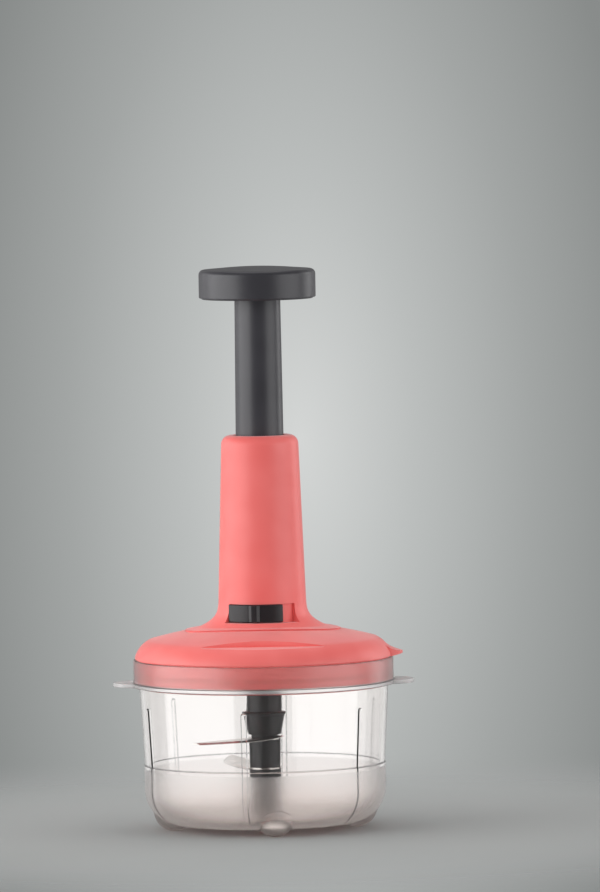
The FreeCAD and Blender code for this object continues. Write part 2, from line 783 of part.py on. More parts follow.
def shaft_bearing():
    body = rod(BEARING_RADIUS - ASSEMBLY_GAP, web_low, web_top)
    flange = rod(BEARING_FLANGE_RADIUS, web_top, bearing_top)
    bore = rod(JOURNAL_RADIUS + RUNNING_FIT, web_low - CUT, bearing_top + CUT)
    return fused([body, flange]).cut(bore)


def spring_seat():
    return ring(SEAT_RADIUS, SEAT_BORE, web_top, seat_top)


def return_spring():
    wire_r = SPRING_WIRE / 2
    low = seat_top + wire_r
    length = nut_low - wire_r - low
    helix = Part.makeHelix(length / SPRING_COILS, length, SPRING_MEAN_RADIUS)
    start = Part.Circle(at(SPRING_MEAN_RADIUS, 0, 0), at(0, 1, 0), wire_r)
    section = Part.Wire([start.toShape()])
    coil = Part.Wire(helix.Edges).makePipeShell([section], True, True)
    coil.translate(at(0, 0, low))
    return coil


# Drive: twisted shaft and splined nose

def twisted_shaft():
    strip = twisted_bar(STRIP_HALF_WIDTH, STRIP_HALF_THICK, strip_low, strip_top)
    journal = rod(JOURNAL_RADIUS, nose_low + NOSE_FLOOR, strip_low)
    groove = ring(CLIP_RADIUS, JOURNAL_RADIUS - CLIP_GROOVE, clip_low, clip_top)
    return journal.cut(groove).fuse(strip).removeSplitter()


def drive_nose():
    neck_r = SOCKET_BORE - NOSE_GAP
    neck = rod(neck_r, nose_low, nose_neck)
    head = rod(NOSE_HEAD_RADIUS, nose_neck, nose_top)
    inner = neck_r - SPLINE_DEPTH
    grooves = splines(SPLINE_COUNT, SPLINE_WIDTH / 2 + NOSE_GAP, inner, neck_r + CUT, 0, nose_neck)
    whole = neck.cut(grooves).fuse(head)
    return whole.cut(rod(JOURNAL_RADIUS, nose_low + NOSE_FLOOR, nose_top + CUT)).removeSplitter()


def thrust_washer():
    return ring(WASHER_RADIUS, JOURNAL_RADIUS + RUNNING_FIT, washer_low, washer_top)


def shaft_clip():
    clip = ring(CLIP_RADIUS, JOURNAL_RADIUS - CLIP_GROOVE, clip_low, clip_top)
    mouth = Part.makeBox(CLIP_RADIUS, CLIP_MOUTH, CLIP_THICK, at(0, -CLIP_MOUTH / 2, clip_low))
    return clip.cut(mouth)


# Plunger and knob

def latch_slot():
    """Recess low on the tube: the lock's finger enters it from below and turns in over a shelf."""
    depth_r = FINGER_TIP_RADIUS - LATCH_DEPTH
    reach = TUBE_LOW_RADIUS + CUT
    high = finger_high + FINGER_GAP + stroke
    start = finger_angle - FINGER_HALF_ANGLE - FINGER_PLAY_ANGLE
    gate = finger_angle + FINGER_HALF_ANGLE + FINGER_PLAY_ANGLE
    entry = sector(depth_r, reach, tube_low - CUT, high, start, gate)
    shelf = tube_low + LATCH_SHELF
    return entry.fuse(sector(depth_r, reach, shelf, high, start, gate + SLIDER_TRAVEL_ANGLE))


def plunger_tube():
    body = turned(
        (0, tube_low),
        (TUBE_LOW_RADIUS, tube_low),
        (TUBE_LOW_RADIUS, tube_low + TUBE_SEAT),
        (TUBE_TOP_RADIUS, knob_low),
        (TUBE_TOP_RADIUS, tube_top),
        (0, tube_top),
    )
    roof = tube_top - TUBE_ROOF
    bore = rod(TUBE_BORE, tube_low - CUT, roof)
    bore = bore.cut(rod(TUBE_PILOT_BOSS, roof - TUBE_PILOT_LENGTH, roof))
    pilot = rod(KNOB_SCREW_SHANK, roof - TUBE_PILOT_LENGTH - CUT, tube_top + CUT)
    return body.cut([bore, pilot, latch_slot()]).removeSplitter()


def guide_ring():
    return ring(BARREL_BORE - GUIDE_GAP, TUBE_LOW_RADIUS, guide_low, guide_top)


def twist_nut():
    body = rod(TUBE_BORE - ASSEMBLY_GAP, tube_low, nut_top)
    flange = rod(NUT_FLANGE_RADIUS, nut_low, tube_low)
    half_width = STRIP_HALF_WIDTH + TWIST_GAP
    slot = twisted_bar(half_width, STRIP_HALF_THICK + TWIST_GAP, nut_low - CUT, nut_top + CUT)
    return fused([body, flange]).cut(slot)


def knob_base():
    disc_r = KNOB_RADIUS - KNOB_LIP
    disc = rod(disc_r, knob_low, knob_low + KNOB_BASE_THICK)
    socket_r = TUBE_TOP_RADIUS + ASSEMBLY_GAP
    socket = rod(socket_r + KNOB_SOCKET_WALL, knob_low, tube_top + KNOB_WEB)
    body = fused([disc, socket]).cut(rod(socket_r, knob_low - CUT, tube_top))
    return body.cut(rod(KNOB_SCREW_SHANK, knob_low, tube_top + KNOB_WEB + CUT))


def knob_profile(inset):
    """Outside of the cap, or its hollow where the inset is a wall."""
    side_r = KNOB_RADIUS - inset
    side_z = knob_low + KNOB_SIDE - inset
    top_z = side_z + KNOB_CROWN
    low = knob_low if inset else knob_low + KNOB_LIP / 2
    slant = KNOB_ROUND * (1 - math.sqrt(0.5))
    flat_r = side_r - KNOB_ROUND
    return turned(
        (0, low),
        (side_r, low),
        (side_r, side_z - KNOB_ROUND),
        (side_r - slant, side_z - slant, flat_r, side_z),
        (flat_r / 2, top_z - cap_drop(flat_r, KNOB_CROWN, flat_r / 2), 0, top_z),
    )


def knob_cap():
    seat = rod(KNOB_RADIUS - KNOB_LIP + ASSEMBLY_GAP, knob_low, knob_low + KNOB_BASE_THICK)
    return knob_profile(0.0).cut([knob_profile(KNOB_WALL), seat])


def knob_screw():
    low = tube_top - TUBE_ROOF - TUBE_PILOT_LENGTH
    under_head = tube_top + KNOB_WEB
    shank = rod(KNOB_SCREW_SHANK, low, under_head)
    head = rod(KNOB_SCREW_HEAD, under_head, under_head + KNOB_SCREW_HEAD_HEIGHT)
    return fused([shank, head])


# Lock slider

def lock_slider():
    inner = tower_radius(slot_mid) - SLOT_DEPTH + SLIDER_GAP
    outer = tower_radius(slot_mid) + SLIDER_PROUD
    low = slot_low + SLIDER_GAP
    high = slot_low + SLOT_HEIGHT - SLIDER_GAP
    plate = sector(inner, outer, low, high, SLIDER_START_ANGLE, SLIDER_END_ANGLE)
    start = finger_angle - FINGER_HALF_ANGLE
    end = finger_angle + FINGER_HALF_ANGLE
    finger = sector(FINGER_TIP_RADIUS, inner + SLIDER_GAP, finger_low, finger_high, start, end)
    ridge = Part.makeBox(RIDGE_PROUD + SLIDER_PROUD, RIDGE_WIDTH, high - low)
    ridge.translate(at(outer - SLIDER_PROUD, -RIDGE_WIDTH / 2, low))
    return fused([plate, finger, swung(ridge, FRONT + finger_angle)])


PIECES = (
    bowl, pivot_pin, hub_foot, hub_base, hub_socket, blade_upper, blade_lower, lid_shell, lid_plug,
    lid_seal, lid_screws, barrel_screws, guide_barrel, mouth_bush, shaft_bearing, spring_seat,
    return_spring, twisted_shaft, drive_nose, thrust_washer, shaft_clip, plunger_tube, guide_ring,
    twist_nut, knob_base, knob_cap, knob_screw, lock_slider,
)

os.makedirs("parts", exist_ok=True)
for piece in PIECES:
    shape = piece()
    shape.exportStep(f"parts/{piece.__name__}.step")
    print(piece.__name__, len(shape.Solids), shape.isValid(), round(shape.Volume, 1))
print("stroke", round(stroke, 3))
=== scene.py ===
import bpy
import math
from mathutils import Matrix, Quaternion, Vector


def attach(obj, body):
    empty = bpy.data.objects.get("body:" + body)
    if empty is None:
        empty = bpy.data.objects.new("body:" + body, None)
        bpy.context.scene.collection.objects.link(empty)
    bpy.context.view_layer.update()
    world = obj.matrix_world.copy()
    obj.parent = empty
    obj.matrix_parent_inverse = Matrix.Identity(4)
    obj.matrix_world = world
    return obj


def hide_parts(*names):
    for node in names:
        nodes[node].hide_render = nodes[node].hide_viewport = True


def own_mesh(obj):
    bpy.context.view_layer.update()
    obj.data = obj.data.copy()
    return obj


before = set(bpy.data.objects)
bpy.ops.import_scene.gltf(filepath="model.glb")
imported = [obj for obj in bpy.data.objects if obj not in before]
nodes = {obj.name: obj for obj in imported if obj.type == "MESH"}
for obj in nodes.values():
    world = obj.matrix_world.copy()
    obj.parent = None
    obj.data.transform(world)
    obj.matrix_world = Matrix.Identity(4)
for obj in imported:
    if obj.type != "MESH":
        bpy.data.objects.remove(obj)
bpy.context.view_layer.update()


# The studio: a grey surround that is lightest behind the object, a floor that fades into
# it, soft boxes on both sides and above, and a long lens a few metres away.

MM = 0.001


def linear(code):
    """Linear colour of an sRGB hex value."""
    parts = [int(code[k:k + 2], 16) / 255 for k in (1, 3, 5)]
    return tuple(p / 12.92 if p < 0.04045 else ((p + 0.055) / 1.055) ** 2.4 for p in parts) + (1.0,)


def add(tree, kind, inputs=None, stops=None, **settings):
    """Adds a node with its settings. An input is a value, or the output of another node."""
    node = tree.nodes.new("ShaderNode" + kind)
    for name, value in settings.items():
        setattr(node, name, value)
    for name, value in (inputs or {}).items():
        if isinstance(value, bpy.types.NodeSocket):
            tree.links.new(value, node.inputs[name])
        else:
            node.inputs[name].default_value = value
    if stops:
        elements = node.color_ramp.elements
        elements.remove(elements[0])
        elements[0].position, elements[0].color = stops[0][0], linear(stops[0][1])
        for place, code in stops[1:]:
            elements.new(place).color = linear(code)
    return node


LENS = 404.0
LENS_DISTANCE = 4.8
LENS_DOWN = math.radians(3.26)
LENS_ROLL = math.radians(-0.95)
LENS_TARGET = Vector((19.3, 0.0, 183.6)) * MM

view_back = Vector((0.0, -math.cos(LENS_DOWN), math.sin(LENS_DOWN)))
bpy.ops.object.select_all(action="DESELECT")
bpy.ops.object.camera_add(location=LENS_TARGET + view_back * LENS_DISTANCE)
camera = bpy.context.object
camera.name = "studio_camera"
camera.data.lens = LENS
camera.rotation_mode = "QUATERNION"
level = (-view_back).to_track_quat("-Z", "Y")
camera.rotation_quaternion = level @ Quaternion((0.0, 0.0, 1.0), LENS_ROLL)
camera.data.clip_end = 20.0
bpy.context.scene.camera = camera
bpy.context.scene.view_settings.view_transform = "Standard"

# The camera sees a flattened glow, a little below the middle, that fades over a reach of view
# directions. The other two lists of colours go by how far a ray runs away from the camera:
# one is seen through clear plastic, the other in polished faces.
GLOW_DOWN = -0.0563
GLOW_FLATTEN = 0.45
GLOW_REACH = 0.0352
GLOW_STOPS = [(0.0, "#d4d6d5"), (0.33, "#bbbebd"), (0.66, "#a2a5a4"), (1.0, "#898c8b")]
THROUGH_STOPS = [(0.25, "#453f3c"), (0.72, "#4f4845"), (0.9, "#fefcfa")]
GLOSS_STOPS = [(0.0, "#2c2c2c"), (0.55, "#383838"), (0.82, "#707070"), (0.94, "#b4b4b4"),
               (1.0, "#7c7c7c")]
ROOM = "#c2c2c2"

world = bpy.data.worlds.new("studio_air")
world.use_nodes = True
bpy.context.scene.world = world
tree = world.node_tree
tree.nodes.clear()
looking = add(tree, "TexCoord").outputs["Generated"]
rays = add(tree, "LightPath")
away = add(tree, "VectorMath", {0: looking, 1: (0.0, 0.0, GLOW_DOWN)}, operation="SUBTRACT")
spread = add(tree, "VectorMath", {0: away.outputs[0], 1: (1.0, 0.0, GLOW_FLATTEN)}, operation="MULTIPLY")
offset = add(tree, "VectorMath", {0: spread.outputs[0]}, operation="LENGTH")
share = add(tree, "Math", {0: offset.outputs["Value"], 1: GLOW_REACH}, operation="DIVIDE")
glow = add(tree, "ValToRGB", {"Fac": share.outputs[0]}, GLOW_STOPS)
behind = add(tree, "SeparateXYZ", {0: looking}).outputs["Y"]
through = add(tree, "ValToRGB", {"Fac": behind}, THROUGH_STOPS)
facing = add(tree, "MapRange", {"Value": behind, "From Min": -1.0, "From Max": 1.0}).outputs[0]
gloss = add(tree, "ValToRGB", {"Fac": facing}, GLOSS_STOPS)
shown = linear(ROOM)
for flag, seen in (("Is Glossy Ray", gloss), ("Is Transmission Ray", through), ("Is Camera Ray", glow)):
    mix = add(tree, "MixRGB", {"Fac": rays.outputs[flag], "Color1": shown,
                               "Color2": seen.outputs["Color"]})
    shown = mix.outputs["Color"]
scattered = add(tree, "Math", {0: rays.outputs["Diffuse Depth"], 1: 0.5}, operation="GREATER_THAN")
lit = add(tree, "MixRGB", {"Fac": scattered.outputs[0], "Color1": shown, "Color2": linear(ROOM)})
air = add(tree, "Background", {"Color": lit.outputs["Color"]})
add(tree, "OutputWorld", {"Surface": air.outputs[0]})

FLOOR_RADIUS = 0.9
FLOOR_SOLID = 0.10
FLOOR_FADE = 0.42
FLOOR_PAPER = "#a4a6a5"

bpy.ops.object.select_all(action="DESELECT")
bpy.ops.mesh.primitive_circle_add(vertices=128, radius=FLOOR_RADIUS, fill_type="NGON")
floor = bpy.context.object
floor.name = "studio_floor"
paper = bpy.data.materials.new("matt_grey_paper")
paper.use_nodes = True
tree = paper.node_tree
tree.nodes.clear()
place = add(tree, "TexCoord").outputs["Object"]
rays = add(tree, "LightPath")
out = add(tree, "VectorMath", {0: place}, operation="LENGTH")
near = add(tree, "MapRange", {"Value": out.outputs["Value"], "From Min": FLOOR_SOLID,
                              "From Max": FLOOR_FADE, "To Min": 1.0, "To Max": 0.0},
           interpolation_type="SMOOTHSTEP")
matt = add(tree, "BsdfDiffuse", {"Color": linear(FLOOR_PAPER)})
gone = add(tree, "BsdfTransparent")
faded = add(tree, "MixShader", {0: near.outputs[0], 1: gone.outputs[0], 2: matt.outputs[0]})
seen = add(tree, "MixShader", {0: rays.outputs["Is Camera Ray"], 1: matt.outputs[0],
                               2: faded.outputs[0]})
bare = add(tree, "MixShader", {0: rays.outputs["Is Transmission Ray"], 1: seen.outputs[0],
                               2: gone.outputs[0]})
add(tree, "OutputMaterial", {"Surface": bare.outputs[0]})
floor.data.materials.append(paper)

LIT_POINT = Vector((0.0, 0.0, 0.13))
# Name, degrees from the front towards the right, distance, height, width, tall, watts. The
# scrims are wide and weak, and only their light that comes through the clear bowl is seen.
SOFT_BOXES = (
    ("left_box", -74.0, 1.5, 0.35, 2.3, 1.3, 30.0),
    ("left_rim_box", -128.0, 1.5, 0.35, 0.5, 1.3, 2.0),
    ("right_box", 66.0, 1.6, 0.3, 1.5, 1.2, 12.0),
    ("right_rim_box", 120.0, 1.5, 0.35, 0.6, 1.2, 5.0),
    ("top_box", 180.0, 0.25, 1.5, 1.1, 1.1, 4.5),
    ("left_scrim", -68.0, 1.5, 0.35, 2.6, 2.8, 40.0),
    ("right_scrim", 72.0, 1.5, 0.35, 2.8, 2.8, 24.0),
)
for name, angle, distance, height, width, tall, watts in SOFT_BOXES:
    turn = math.radians(angle)
    spot = Vector((distance * math.sin(turn), -distance * math.cos(turn), height))
    bpy.ops.object.light_add(type="AREA", location=spot)
    box = bpy.context.object
    box.name = name
    box.data.shape = "RECTANGLE"
    box.data.size, box.data.size_y = width, tall
    box.data.energy = watts
    scrim = name.endswith("scrim")
    box.visible_transmission = scrim
    box.visible_diffuse = box.visible_glossy = not scrim
    box.rotation_mode = "QUATERNION"
    box.rotation_quaternion = (LIT_POINT - spot).to_track_quat("-Z", "Y")


# Chopping bowl: one injection moulding in clear styrene plastic, with polished walls above
# a frosted base, a flange with two ears under the rim band, ribs down the outside for grip
# and four round feet.

ROUND_STEP = math.radians(14.0)
RING, SMALL_RING = 192, 96


def rounded(corners):
    """Section in millimetres from corners of radius, height and rounding."""
    points = []
    for k, (radius, height, size) in enumerate(corners):
        here = Vector((radius, height))
        if not size:
            points.append(here)
            continue
        back = (Vector(corners[k - 1][:2]) - here).normalized()
        ahead = (Vector(corners[(k + 1) % len(corners)][:2]) - here).normalized()
        half = back.angle(ahead) / 2
        centre = here + (back + ahead).normalized() * size / math.sin(half)
        arm = here + back * size / math.tan(half) - centre
        sweep = math.copysign(math.pi - 2 * half, back.x * ahead.y - back.y * ahead.x)
        steps = max(2, math.ceil(abs(sweep) / ROUND_STEP))
        for s in range(steps + 1):
            turn = -sweep * s / steps
            across = Vector((arm.x * math.cos(turn) - arm.y * math.sin(turn),
                             arm.x * math.sin(turn) + arm.y * math.cos(turn)))
            points.append(centre + across)
    return points


def settle(piece):
    """Puts a piece's place and turn into its mesh."""
    bpy.ops.object.select_all(action="DESELECT")
    piece.select_set(True)
    bpy.context.view_layer.objects.active = piece
    bpy.ops.object.transform_apply(location=True, rotation=True, scale=True)


def close_up(piece):
    """In edit mode, closes a mesh's ends and turns its faces outwards, then leaves edit mode."""
    bpy.ops.mesh.select_all(action="SELECT")
    bpy.ops.mesh.remove_doubles(threshold=0.001 * MM)
    bpy.ops.mesh.fill_holes(sides=0)
    bpy.ops.mesh.select_all(action="SELECT")
    bpy.ops.mesh.normals_make_consistent(inside=False)
    bpy.ops.object.mode_set(mode="OBJECT")
    settle(piece)


def mapped(name, across, along, place):
    """Skin from a flat grid whose points each go to a place. Its sides meet and its ends close."""
    bpy.ops.object.select_all(action="DESELECT")
    bpy.ops.mesh.primitive_grid_add(x_subdivisions=across, y_subdivisions=along, size=2.0)
    piece = bpy.context.object
    piece.name = name
    for vert in piece.data.vertices:
        i = round((vert.co.x + 1.0) / 2.0 * across)
        j = round((vert.co.y + 1.0) / 2.0 * along)
        vert.co = place(i, j)
    bpy.ops.object.mode_set(mode="EDIT")
    close_up(piece)
    return piece


def change(piece, kind, **settings):
    """Adds a modifier and applies it."""
    bpy.ops.object.select_all(action="DESELECT")
    piece.select_set(True)
    bpy.context.view_layer.objects.active = piece
    modifier = piece.modifiers.new(kind.lower(), kind)
    for name, value in settings.items():
        setattr(modifier, name, value)
    bpy.ops.object.modifier_apply(modifier=modifier.name)


def lathe(name, points, closed=False, ring=RING):
    """Turned piece: one point drawn out along a section, which is then turned round the axis."""
    bpy.ops.object.select_all(action="DESELECT")
    radius, height = points[0]
    bpy.ops.mesh.primitive_plane_add(size=MM, location=(radius * MM, 0, height * MM))
    piece = bpy.context.object
    piece.name = name
    bpy.ops.object.mode_set(mode="EDIT")
    bpy.ops.mesh.select_all(action="SELECT")
    bpy.ops.mesh.merge(type="CENTER")
    for next_radius, next_height in points[1:] + points[:1] * closed:
        step = ((next_radius - radius) * MM, 0, (next_height - height) * MM)
        bpy.ops.mesh.extrude_region_move(TRANSFORM_OT_translate={"value": step})
        radius, height = next_radius, next_height
    bpy.ops.object.mode_set(mode="OBJECT")
    settle(piece)
    change(piece, "SCREW", axis="Z", angle=2.0 * math.pi, steps=ring, render_steps=ring,
           use_smooth_shade=False)
    bpy.ops.object.mode_set(mode="EDIT")
    close_up(piece)
    return piece


def smooth(piece, degrees=32.0):
    """Smooth shading that leaves edges crisp, and flat runs flat beside their roundings."""
    bpy.ops.object.select_all(action="DESELECT")
    piece.select_set(True)
    bpy.context.view_layer.objects.active = piece
    bpy.ops.object.shade_smooth_by_angle(angle=math.radians(degrees))
    change(piece, "WEIGHTED_NORMAL", keep_sharp=True)


def combine(whole, other, operation):
    """Welds another solid to the whole, or cuts it out, and removes it."""
    change(whole, "BOOLEAN", object=other, operation=operation, solver="EXACT")
    bpy.data.objects.remove(other)


def joined(others):
    """Several separate solids as one object."""
    bpy.ops.object.select_all(action="DESELECT")
    for other in others:
        other.select_set(True)
    bpy.context.view_layer.objects.active = others[0]
    bpy.ops.object.join()
    return others[0]


def spun_copies(piece, count, first):
    """Evenly spaced copies of a piece that lies on +X, the first at an angle from the front."""
    made = []
    for k in range(count):
        copy = piece.copy()
        copy.data = piece.data.copy()
        bpy.context.collection.objects.link(copy)
        copy.rotation_euler.z = math.radians(first - 90.0 + 360.0 * k / count)
        settle(copy)
        made.append(copy)
    bpy.data.objects.remove(piece)
    return made


def new_finish(name):
    """Empty material; gives it, its tree and the object coordinates."""
    finish = bpy.data.materials.new(name)
    finish.use_nodes = True
    finish.node_tree.nodes.clear()
    return finish, finish.node_tree, add(finish.node_tree, "TexCoord").outputs["Object"]


# Sizes in millimetres: _R is a radius, _Z a height over the worktop.
FLOOR_UNDER, FLOOR_TOP, MIDDLE_R = 2.8, 5.8, 2.0
BASE_R, BASE_WALL, BASE_ROUND = 58.0, 3.0, 17.0
STEP_Z, STEP_RISE, LEDGE_Z = 31.4, 0.3, 31.9
WALL_LOW_R, WALL_TOP_R, WALL = 57.7, 59.8, 2.2
FLANGE_Z, FLANGE_TOP, FLANGE_R = 69.4, 71.3, 63.3
RIM_R, RIM_BORE, RIM_TOP, SHOULDER_Z = 62.4, 60.6, 82.2, 71.0
POST_R, POST_TOP, PIN_R, PIN_LOW = 7.0, 24.2, 2.05, 10.2
EAR_CENTRE, EAR_R, EAR_ROOT = 59.3, 13.0, 0.4
FOOT_CIRCLE, FOOT_BALL, FOOT_FLAT, FOOT_ROOT, FOOT_ANGLE = 44.0, 10.0, 0.3, 0.7, 6.0
RIB_TOP, RIB_WIDTH, RIB_DEPTH, RIB_ANGLE = 60.3, 2.4, 0.55, -9.4
RIB_ROOT, RIB_FLANK, RIB_END, RIB_LEAN = 0.8, 0.5, 1.2, math.radians(66.0)
SOFT_EDGE, CUT_SPARE = 0.5, 3.0

inside = [
    (RIM_BORE, RIM_TOP, 0.6), (RIM_BORE, SHOULDER_Z, 0.3), (WALL_TOP_R - WALL, SHOULDER_Z, SOFT_EDGE),
    (WALL_LOW_R - WALL, LEDGE_Z, 0.1), (BASE_R - BASE_WALL, LEDGE_Z, 0.1),
    (BASE_R - BASE_WALL, FLOOR_TOP, BASE_ROUND - BASE_WALL),
]
bowl = lathe("bowl_moulding", rounded([
    (MIDDLE_R, FLOOR_UNDER, 0), (BASE_R, FLOOR_UNDER, BASE_ROUND), (BASE_R, STEP_Z, 0.15),
    (WALL_LOW_R, STEP_Z + STEP_RISE, 0.1), (WALL_TOP_R, FLANGE_Z, 0.8), (FLANGE_R, FLANGE_Z, SOFT_EDGE),
    (FLANGE_R, FLANGE_TOP, SOFT_EDGE), (RIM_R, FLANGE_TOP, 0.4), (RIM_R, RIM_TOP, 0.6)] + inside + [
    (POST_R, FLOOR_TOP, 2.0), (POST_R, POST_TOP, 0.4), (PIN_R, POST_TOP, 0.2), (PIN_R, PIN_LOW, 0),
]))

# Each ear is a disc in the flange's plane, cut round so that it ends inside the rim band.
ears = []
for side in (-1, 1):
    middle = (side * EAR_CENTRE * MM, 0, (FLANGE_TOP + FLANGE_Z) / 2 * MM)
    bpy.ops.object.select_all(action="DESELECT")
    bpy.ops.mesh.primitive_cylinder_add(vertices=SMALL_RING, radius=EAR_R * MM,
                                        depth=(FLANGE_TOP - FLANGE_Z) * MM, location=middle)
    ear = bpy.context.object
    settle(ear)
    change(ear, "BEVEL", width=SOFT_EDGE * MM, segments=4, limit_method="ANGLE")
    trim = lathe("ear_trim", rounded([(RIM_R - EAR_ROOT, FLANGE_Z - CUT_SPARE, 0),
                                      (RIM_R - EAR_ROOT, FLANGE_TOP + CUT_SPARE, 0)]))
    combine(ear, trim, "DIFFERENCE")
    ears.append(ear)

# Each foot is a ball with a flat under it, whose top is cut off inside the base's thickness.
FOOT_STEPS = 60
flat_at = math.acos(FOOT_FLAT / FOOT_BALL - 1.0)
ball = []
for k in range(1, FOOT_STEPS + 1):
    turn = flat_at * k / FOOT_STEPS
    ball.append((FOOT_BALL * math.sin(turn), FOOT_BALL * (1.0 + math.cos(turn)) - FOOT_FLAT))
foot = lathe("foot", ball, ring=SMALL_RING)
foot.location.x = FOOT_CIRCLE * MM
settle(foot)
hollow = lathe("bowl_hollow", rounded([
    (BASE_R - BASE_WALL - FOOT_ROOT, LEDGE_Z, 0),
    (BASE_R - BASE_WALL - FOOT_ROOT, FLOOR_TOP - FOOT_ROOT, BASE_ROUND - BASE_WALL),
    (MIDDLE_R, FLOOR_TOP - FOOT_ROOT, 0)]))
combine(foot, hollow, "DIFFERENCE")
feet = spun_copies(foot, 4, FOOT_ANGLE)

# Each rib swells out of the wall with soft flanks, and dies away at both ends.
FLANK_STEPS, BEND_STEPS, END_STEPS = 10, 9, 8
RIB_FIRST, RIB_GROWS, RIB_LAST = 0.2, 0.25, 0.08
rib_section = []
for k in range(FLANK_STEPS + 1):
    rib_section.append(((RIB_WIDTH + RIB_FLANK) / -2 + RIB_FLANK * k / FLANK_STEPS,
                        RIB_DEPTH * (1 - math.cos(math.pi * k / FLANK_STEPS)) / 2))
rib_section += [(-across, depth) for across, depth in reversed(rib_section)]
rib_section += [((RIB_WIDTH + RIB_FLANK) / 2, -RIB_ROOT), ((RIB_WIDTH + RIB_FLANK) / -2, -RIB_ROOT)]
# Radius, height, how far the wall faces down, and the rib's share of its full section.
rib_path = []
for k in range(BEND_STEPS + 1):
    lean = RIB_LEAN * (1 - k / BEND_STEPS)
    rib_path.append((BASE_R - BASE_ROUND * (1 - math.cos(lean)),
                     FLOOR_UNDER + BASE_ROUND * (1 - math.sin(lean)), lean,
                     min(1.0, RIB_FIRST + RIB_GROWS * k)))
rib_path += [(BASE_R, STEP_Z, 0.0, 1.0), (WALL_LOW_R, STEP_Z + STEP_RISE, 0.0, 1.0)]
for k in range(END_STEPS + 1):
    back = RIB_END * (1 - math.sin(math.pi / 2 * k / END_STEPS))
    share = (RIB_TOP - back - STEP_Z) / (FLANGE_Z - STEP_Z)
    rib_path.append((WALL_LOW_R + share * (WALL_TOP_R - WALL_LOW_R), RIB_TOP - back, 0.0,
                     max(RIB_LAST, math.cos(math.pi / 2 * k / END_STEPS))))


def rib_place(i, j):
    """Where a point of the rib's grid goes: round its section, and up its path."""
    across, depth = rib_section[i % len(rib_section)]
    radius, height, lean, size = rib_path[j]
    out = depth * size if depth > 0 else depth
    return Vector((radius + out * math.cos(lean), across * size, height - out * math.sin(lean))) * MM


rib = mapped("rib", len(rib_section), len(rib_path) - 1, rib_place)
ribs = spun_copies(rib, 6, RIB_ANGLE)
combine(bowl, joined(ears + feet + ribs), "UNION")
smooth(bowl)


def install(piece, body, node, finish):
    """Gives a piece its finish and puts it in the place of a CAD node."""
    piece.data.materials.clear()
    piece.data.materials.append(finish)
    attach(piece, body)
    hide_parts(node)


# Moulded styrene acrylonitrile: clear and glossy in the wall, spark-eroded to a fine frost
# on the base and satin on the rim band, with a warm tone that deepens towards the bottom,
# painted shade that darkens the centre post, and a little milk in the ears and, as a share
# of its roughness, in the frost.
FROST_TOP, FROST_SOFT, FROST_ROUGH, FROST_MILK, FROST_GRAIN = 29.7, 0.3, 0.25, 0.2, 0.35
SATIN_LOW, SATIN_FULL, SATIN_ROUGH = 0.1, 0.4, 0.28
EARS_SOFT, EARS_MILK = 0.5, 0.4
# Radius and soft edge of the painted shade in the centre post.
POST_SHADE_R, POST_SHADE_SOFT = 8.0, 0.6
# The tint by height: warmer and a little darker towards the bottom.
WARM_STOPS = [(0.0, "#fbece4"), (0.04, "#fff6f1"), (0.14, "#fffaf8"), (0.35, "#fffdfc"), (0.37, "#fefdfd"),
              (1.0, "#fefdfc")]
clear_plastic, tree, place = new_finish("moulded_styrene_acrylonitrile")
height = add(tree, "SeparateXYZ", {0: place}).outputs["Z"]
frosted = add(tree, "MapRange", {"Value": height, "From Min": (FROST_TOP + FROST_SOFT) * MM,
                                 "From Max": (FROST_TOP - FROST_SOFT) * MM,
                                 "To Max": FROST_ROUGH}).outputs[0]
satin = add(tree, "MapRange", {"Value": height, "From Min": (FLANGE_Z + SATIN_LOW) * MM,
                               "From Max": (FLANGE_Z + SATIN_FULL) * MM,
                               "To Max": SATIN_ROUGH}).outputs[0]
rough = add(tree, "Math", {0: frosted, 1: satin}, operation="ADD").outputs[0]
rise = add(tree, "MapRange", {"Value": height, "From Min": 0.0, "From Max": RIM_TOP * MM}).outputs[0]
tint = add(tree, "ValToRGB", {"Fac": rise}, WARM_STOPS)
flat = add(tree, "VectorMath", {0: place, 1: (1.0, 1.0, 0.0)}, operation="MULTIPLY")
out = add(tree, "VectorMath", {0: flat.outputs[0]}, operation="LENGTH")
# Painted shade: within this radius the centre post is tinted dark grey, standing in for the shade under the
# hub.
post_shade = add(tree, "MapRange", {"Value": out.outputs["Value"], "From Min": (POST_SHADE_R + POST_SHADE_SOFT) * MM,
                              "From Max": (POST_SHADE_R - POST_SHADE_SOFT) * MM}).outputs[0]
colour = add(tree, "MixRGB", {"Fac": post_shade, "Color1": tint.outputs["Color"], "Color2": linear("#8c8480")})
ears_milk = add(tree, "MapRange", {"Value": out.outputs["Value"], "From Min": (FLANGE_R - EARS_SOFT) * MM,
                                   "From Max": (FLANGE_R + EARS_SOFT) * MM,
                                   "To Max": EARS_MILK}).outputs[0]
milk = add(tree, "Math", {0: frosted, 1: FROST_MILK, 2: ears_milk}, operation="MULTIPLY_ADD").outputs[0]
clear = add(tree, "Math", {0: 1.0, 1: milk}, operation="SUBTRACT").outputs[0]
grain = add(tree, "TexNoise", {"Vector": place, "Scale": 1.0 / (FROST_GRAIN * MM), "Detail": 2.0})
bump = add(tree, "Bump", {"Strength": 0.12, "Distance": 0.02 * MM, "Height": grain.outputs["Fac"]})
skin = add(tree, "BsdfPrincipled", {
    "Base Color": colour.outputs["Color"], "Roughness": rough, "IOR": 1.57, "Transmission Weight": clear,
    "Normal": bump.outputs[0]})
add(tree, "OutputMaterial", {"Surface": skin.outputs[0]})
install(bowl, "bowl", "bowl", clear_plastic)


# Pivot pin: a turned and zinc-plated steel pin pressed into the bowl's centre post, chamfered
# at both ends, on which the blade set turns.

TARNISH_SIZE = 9.0


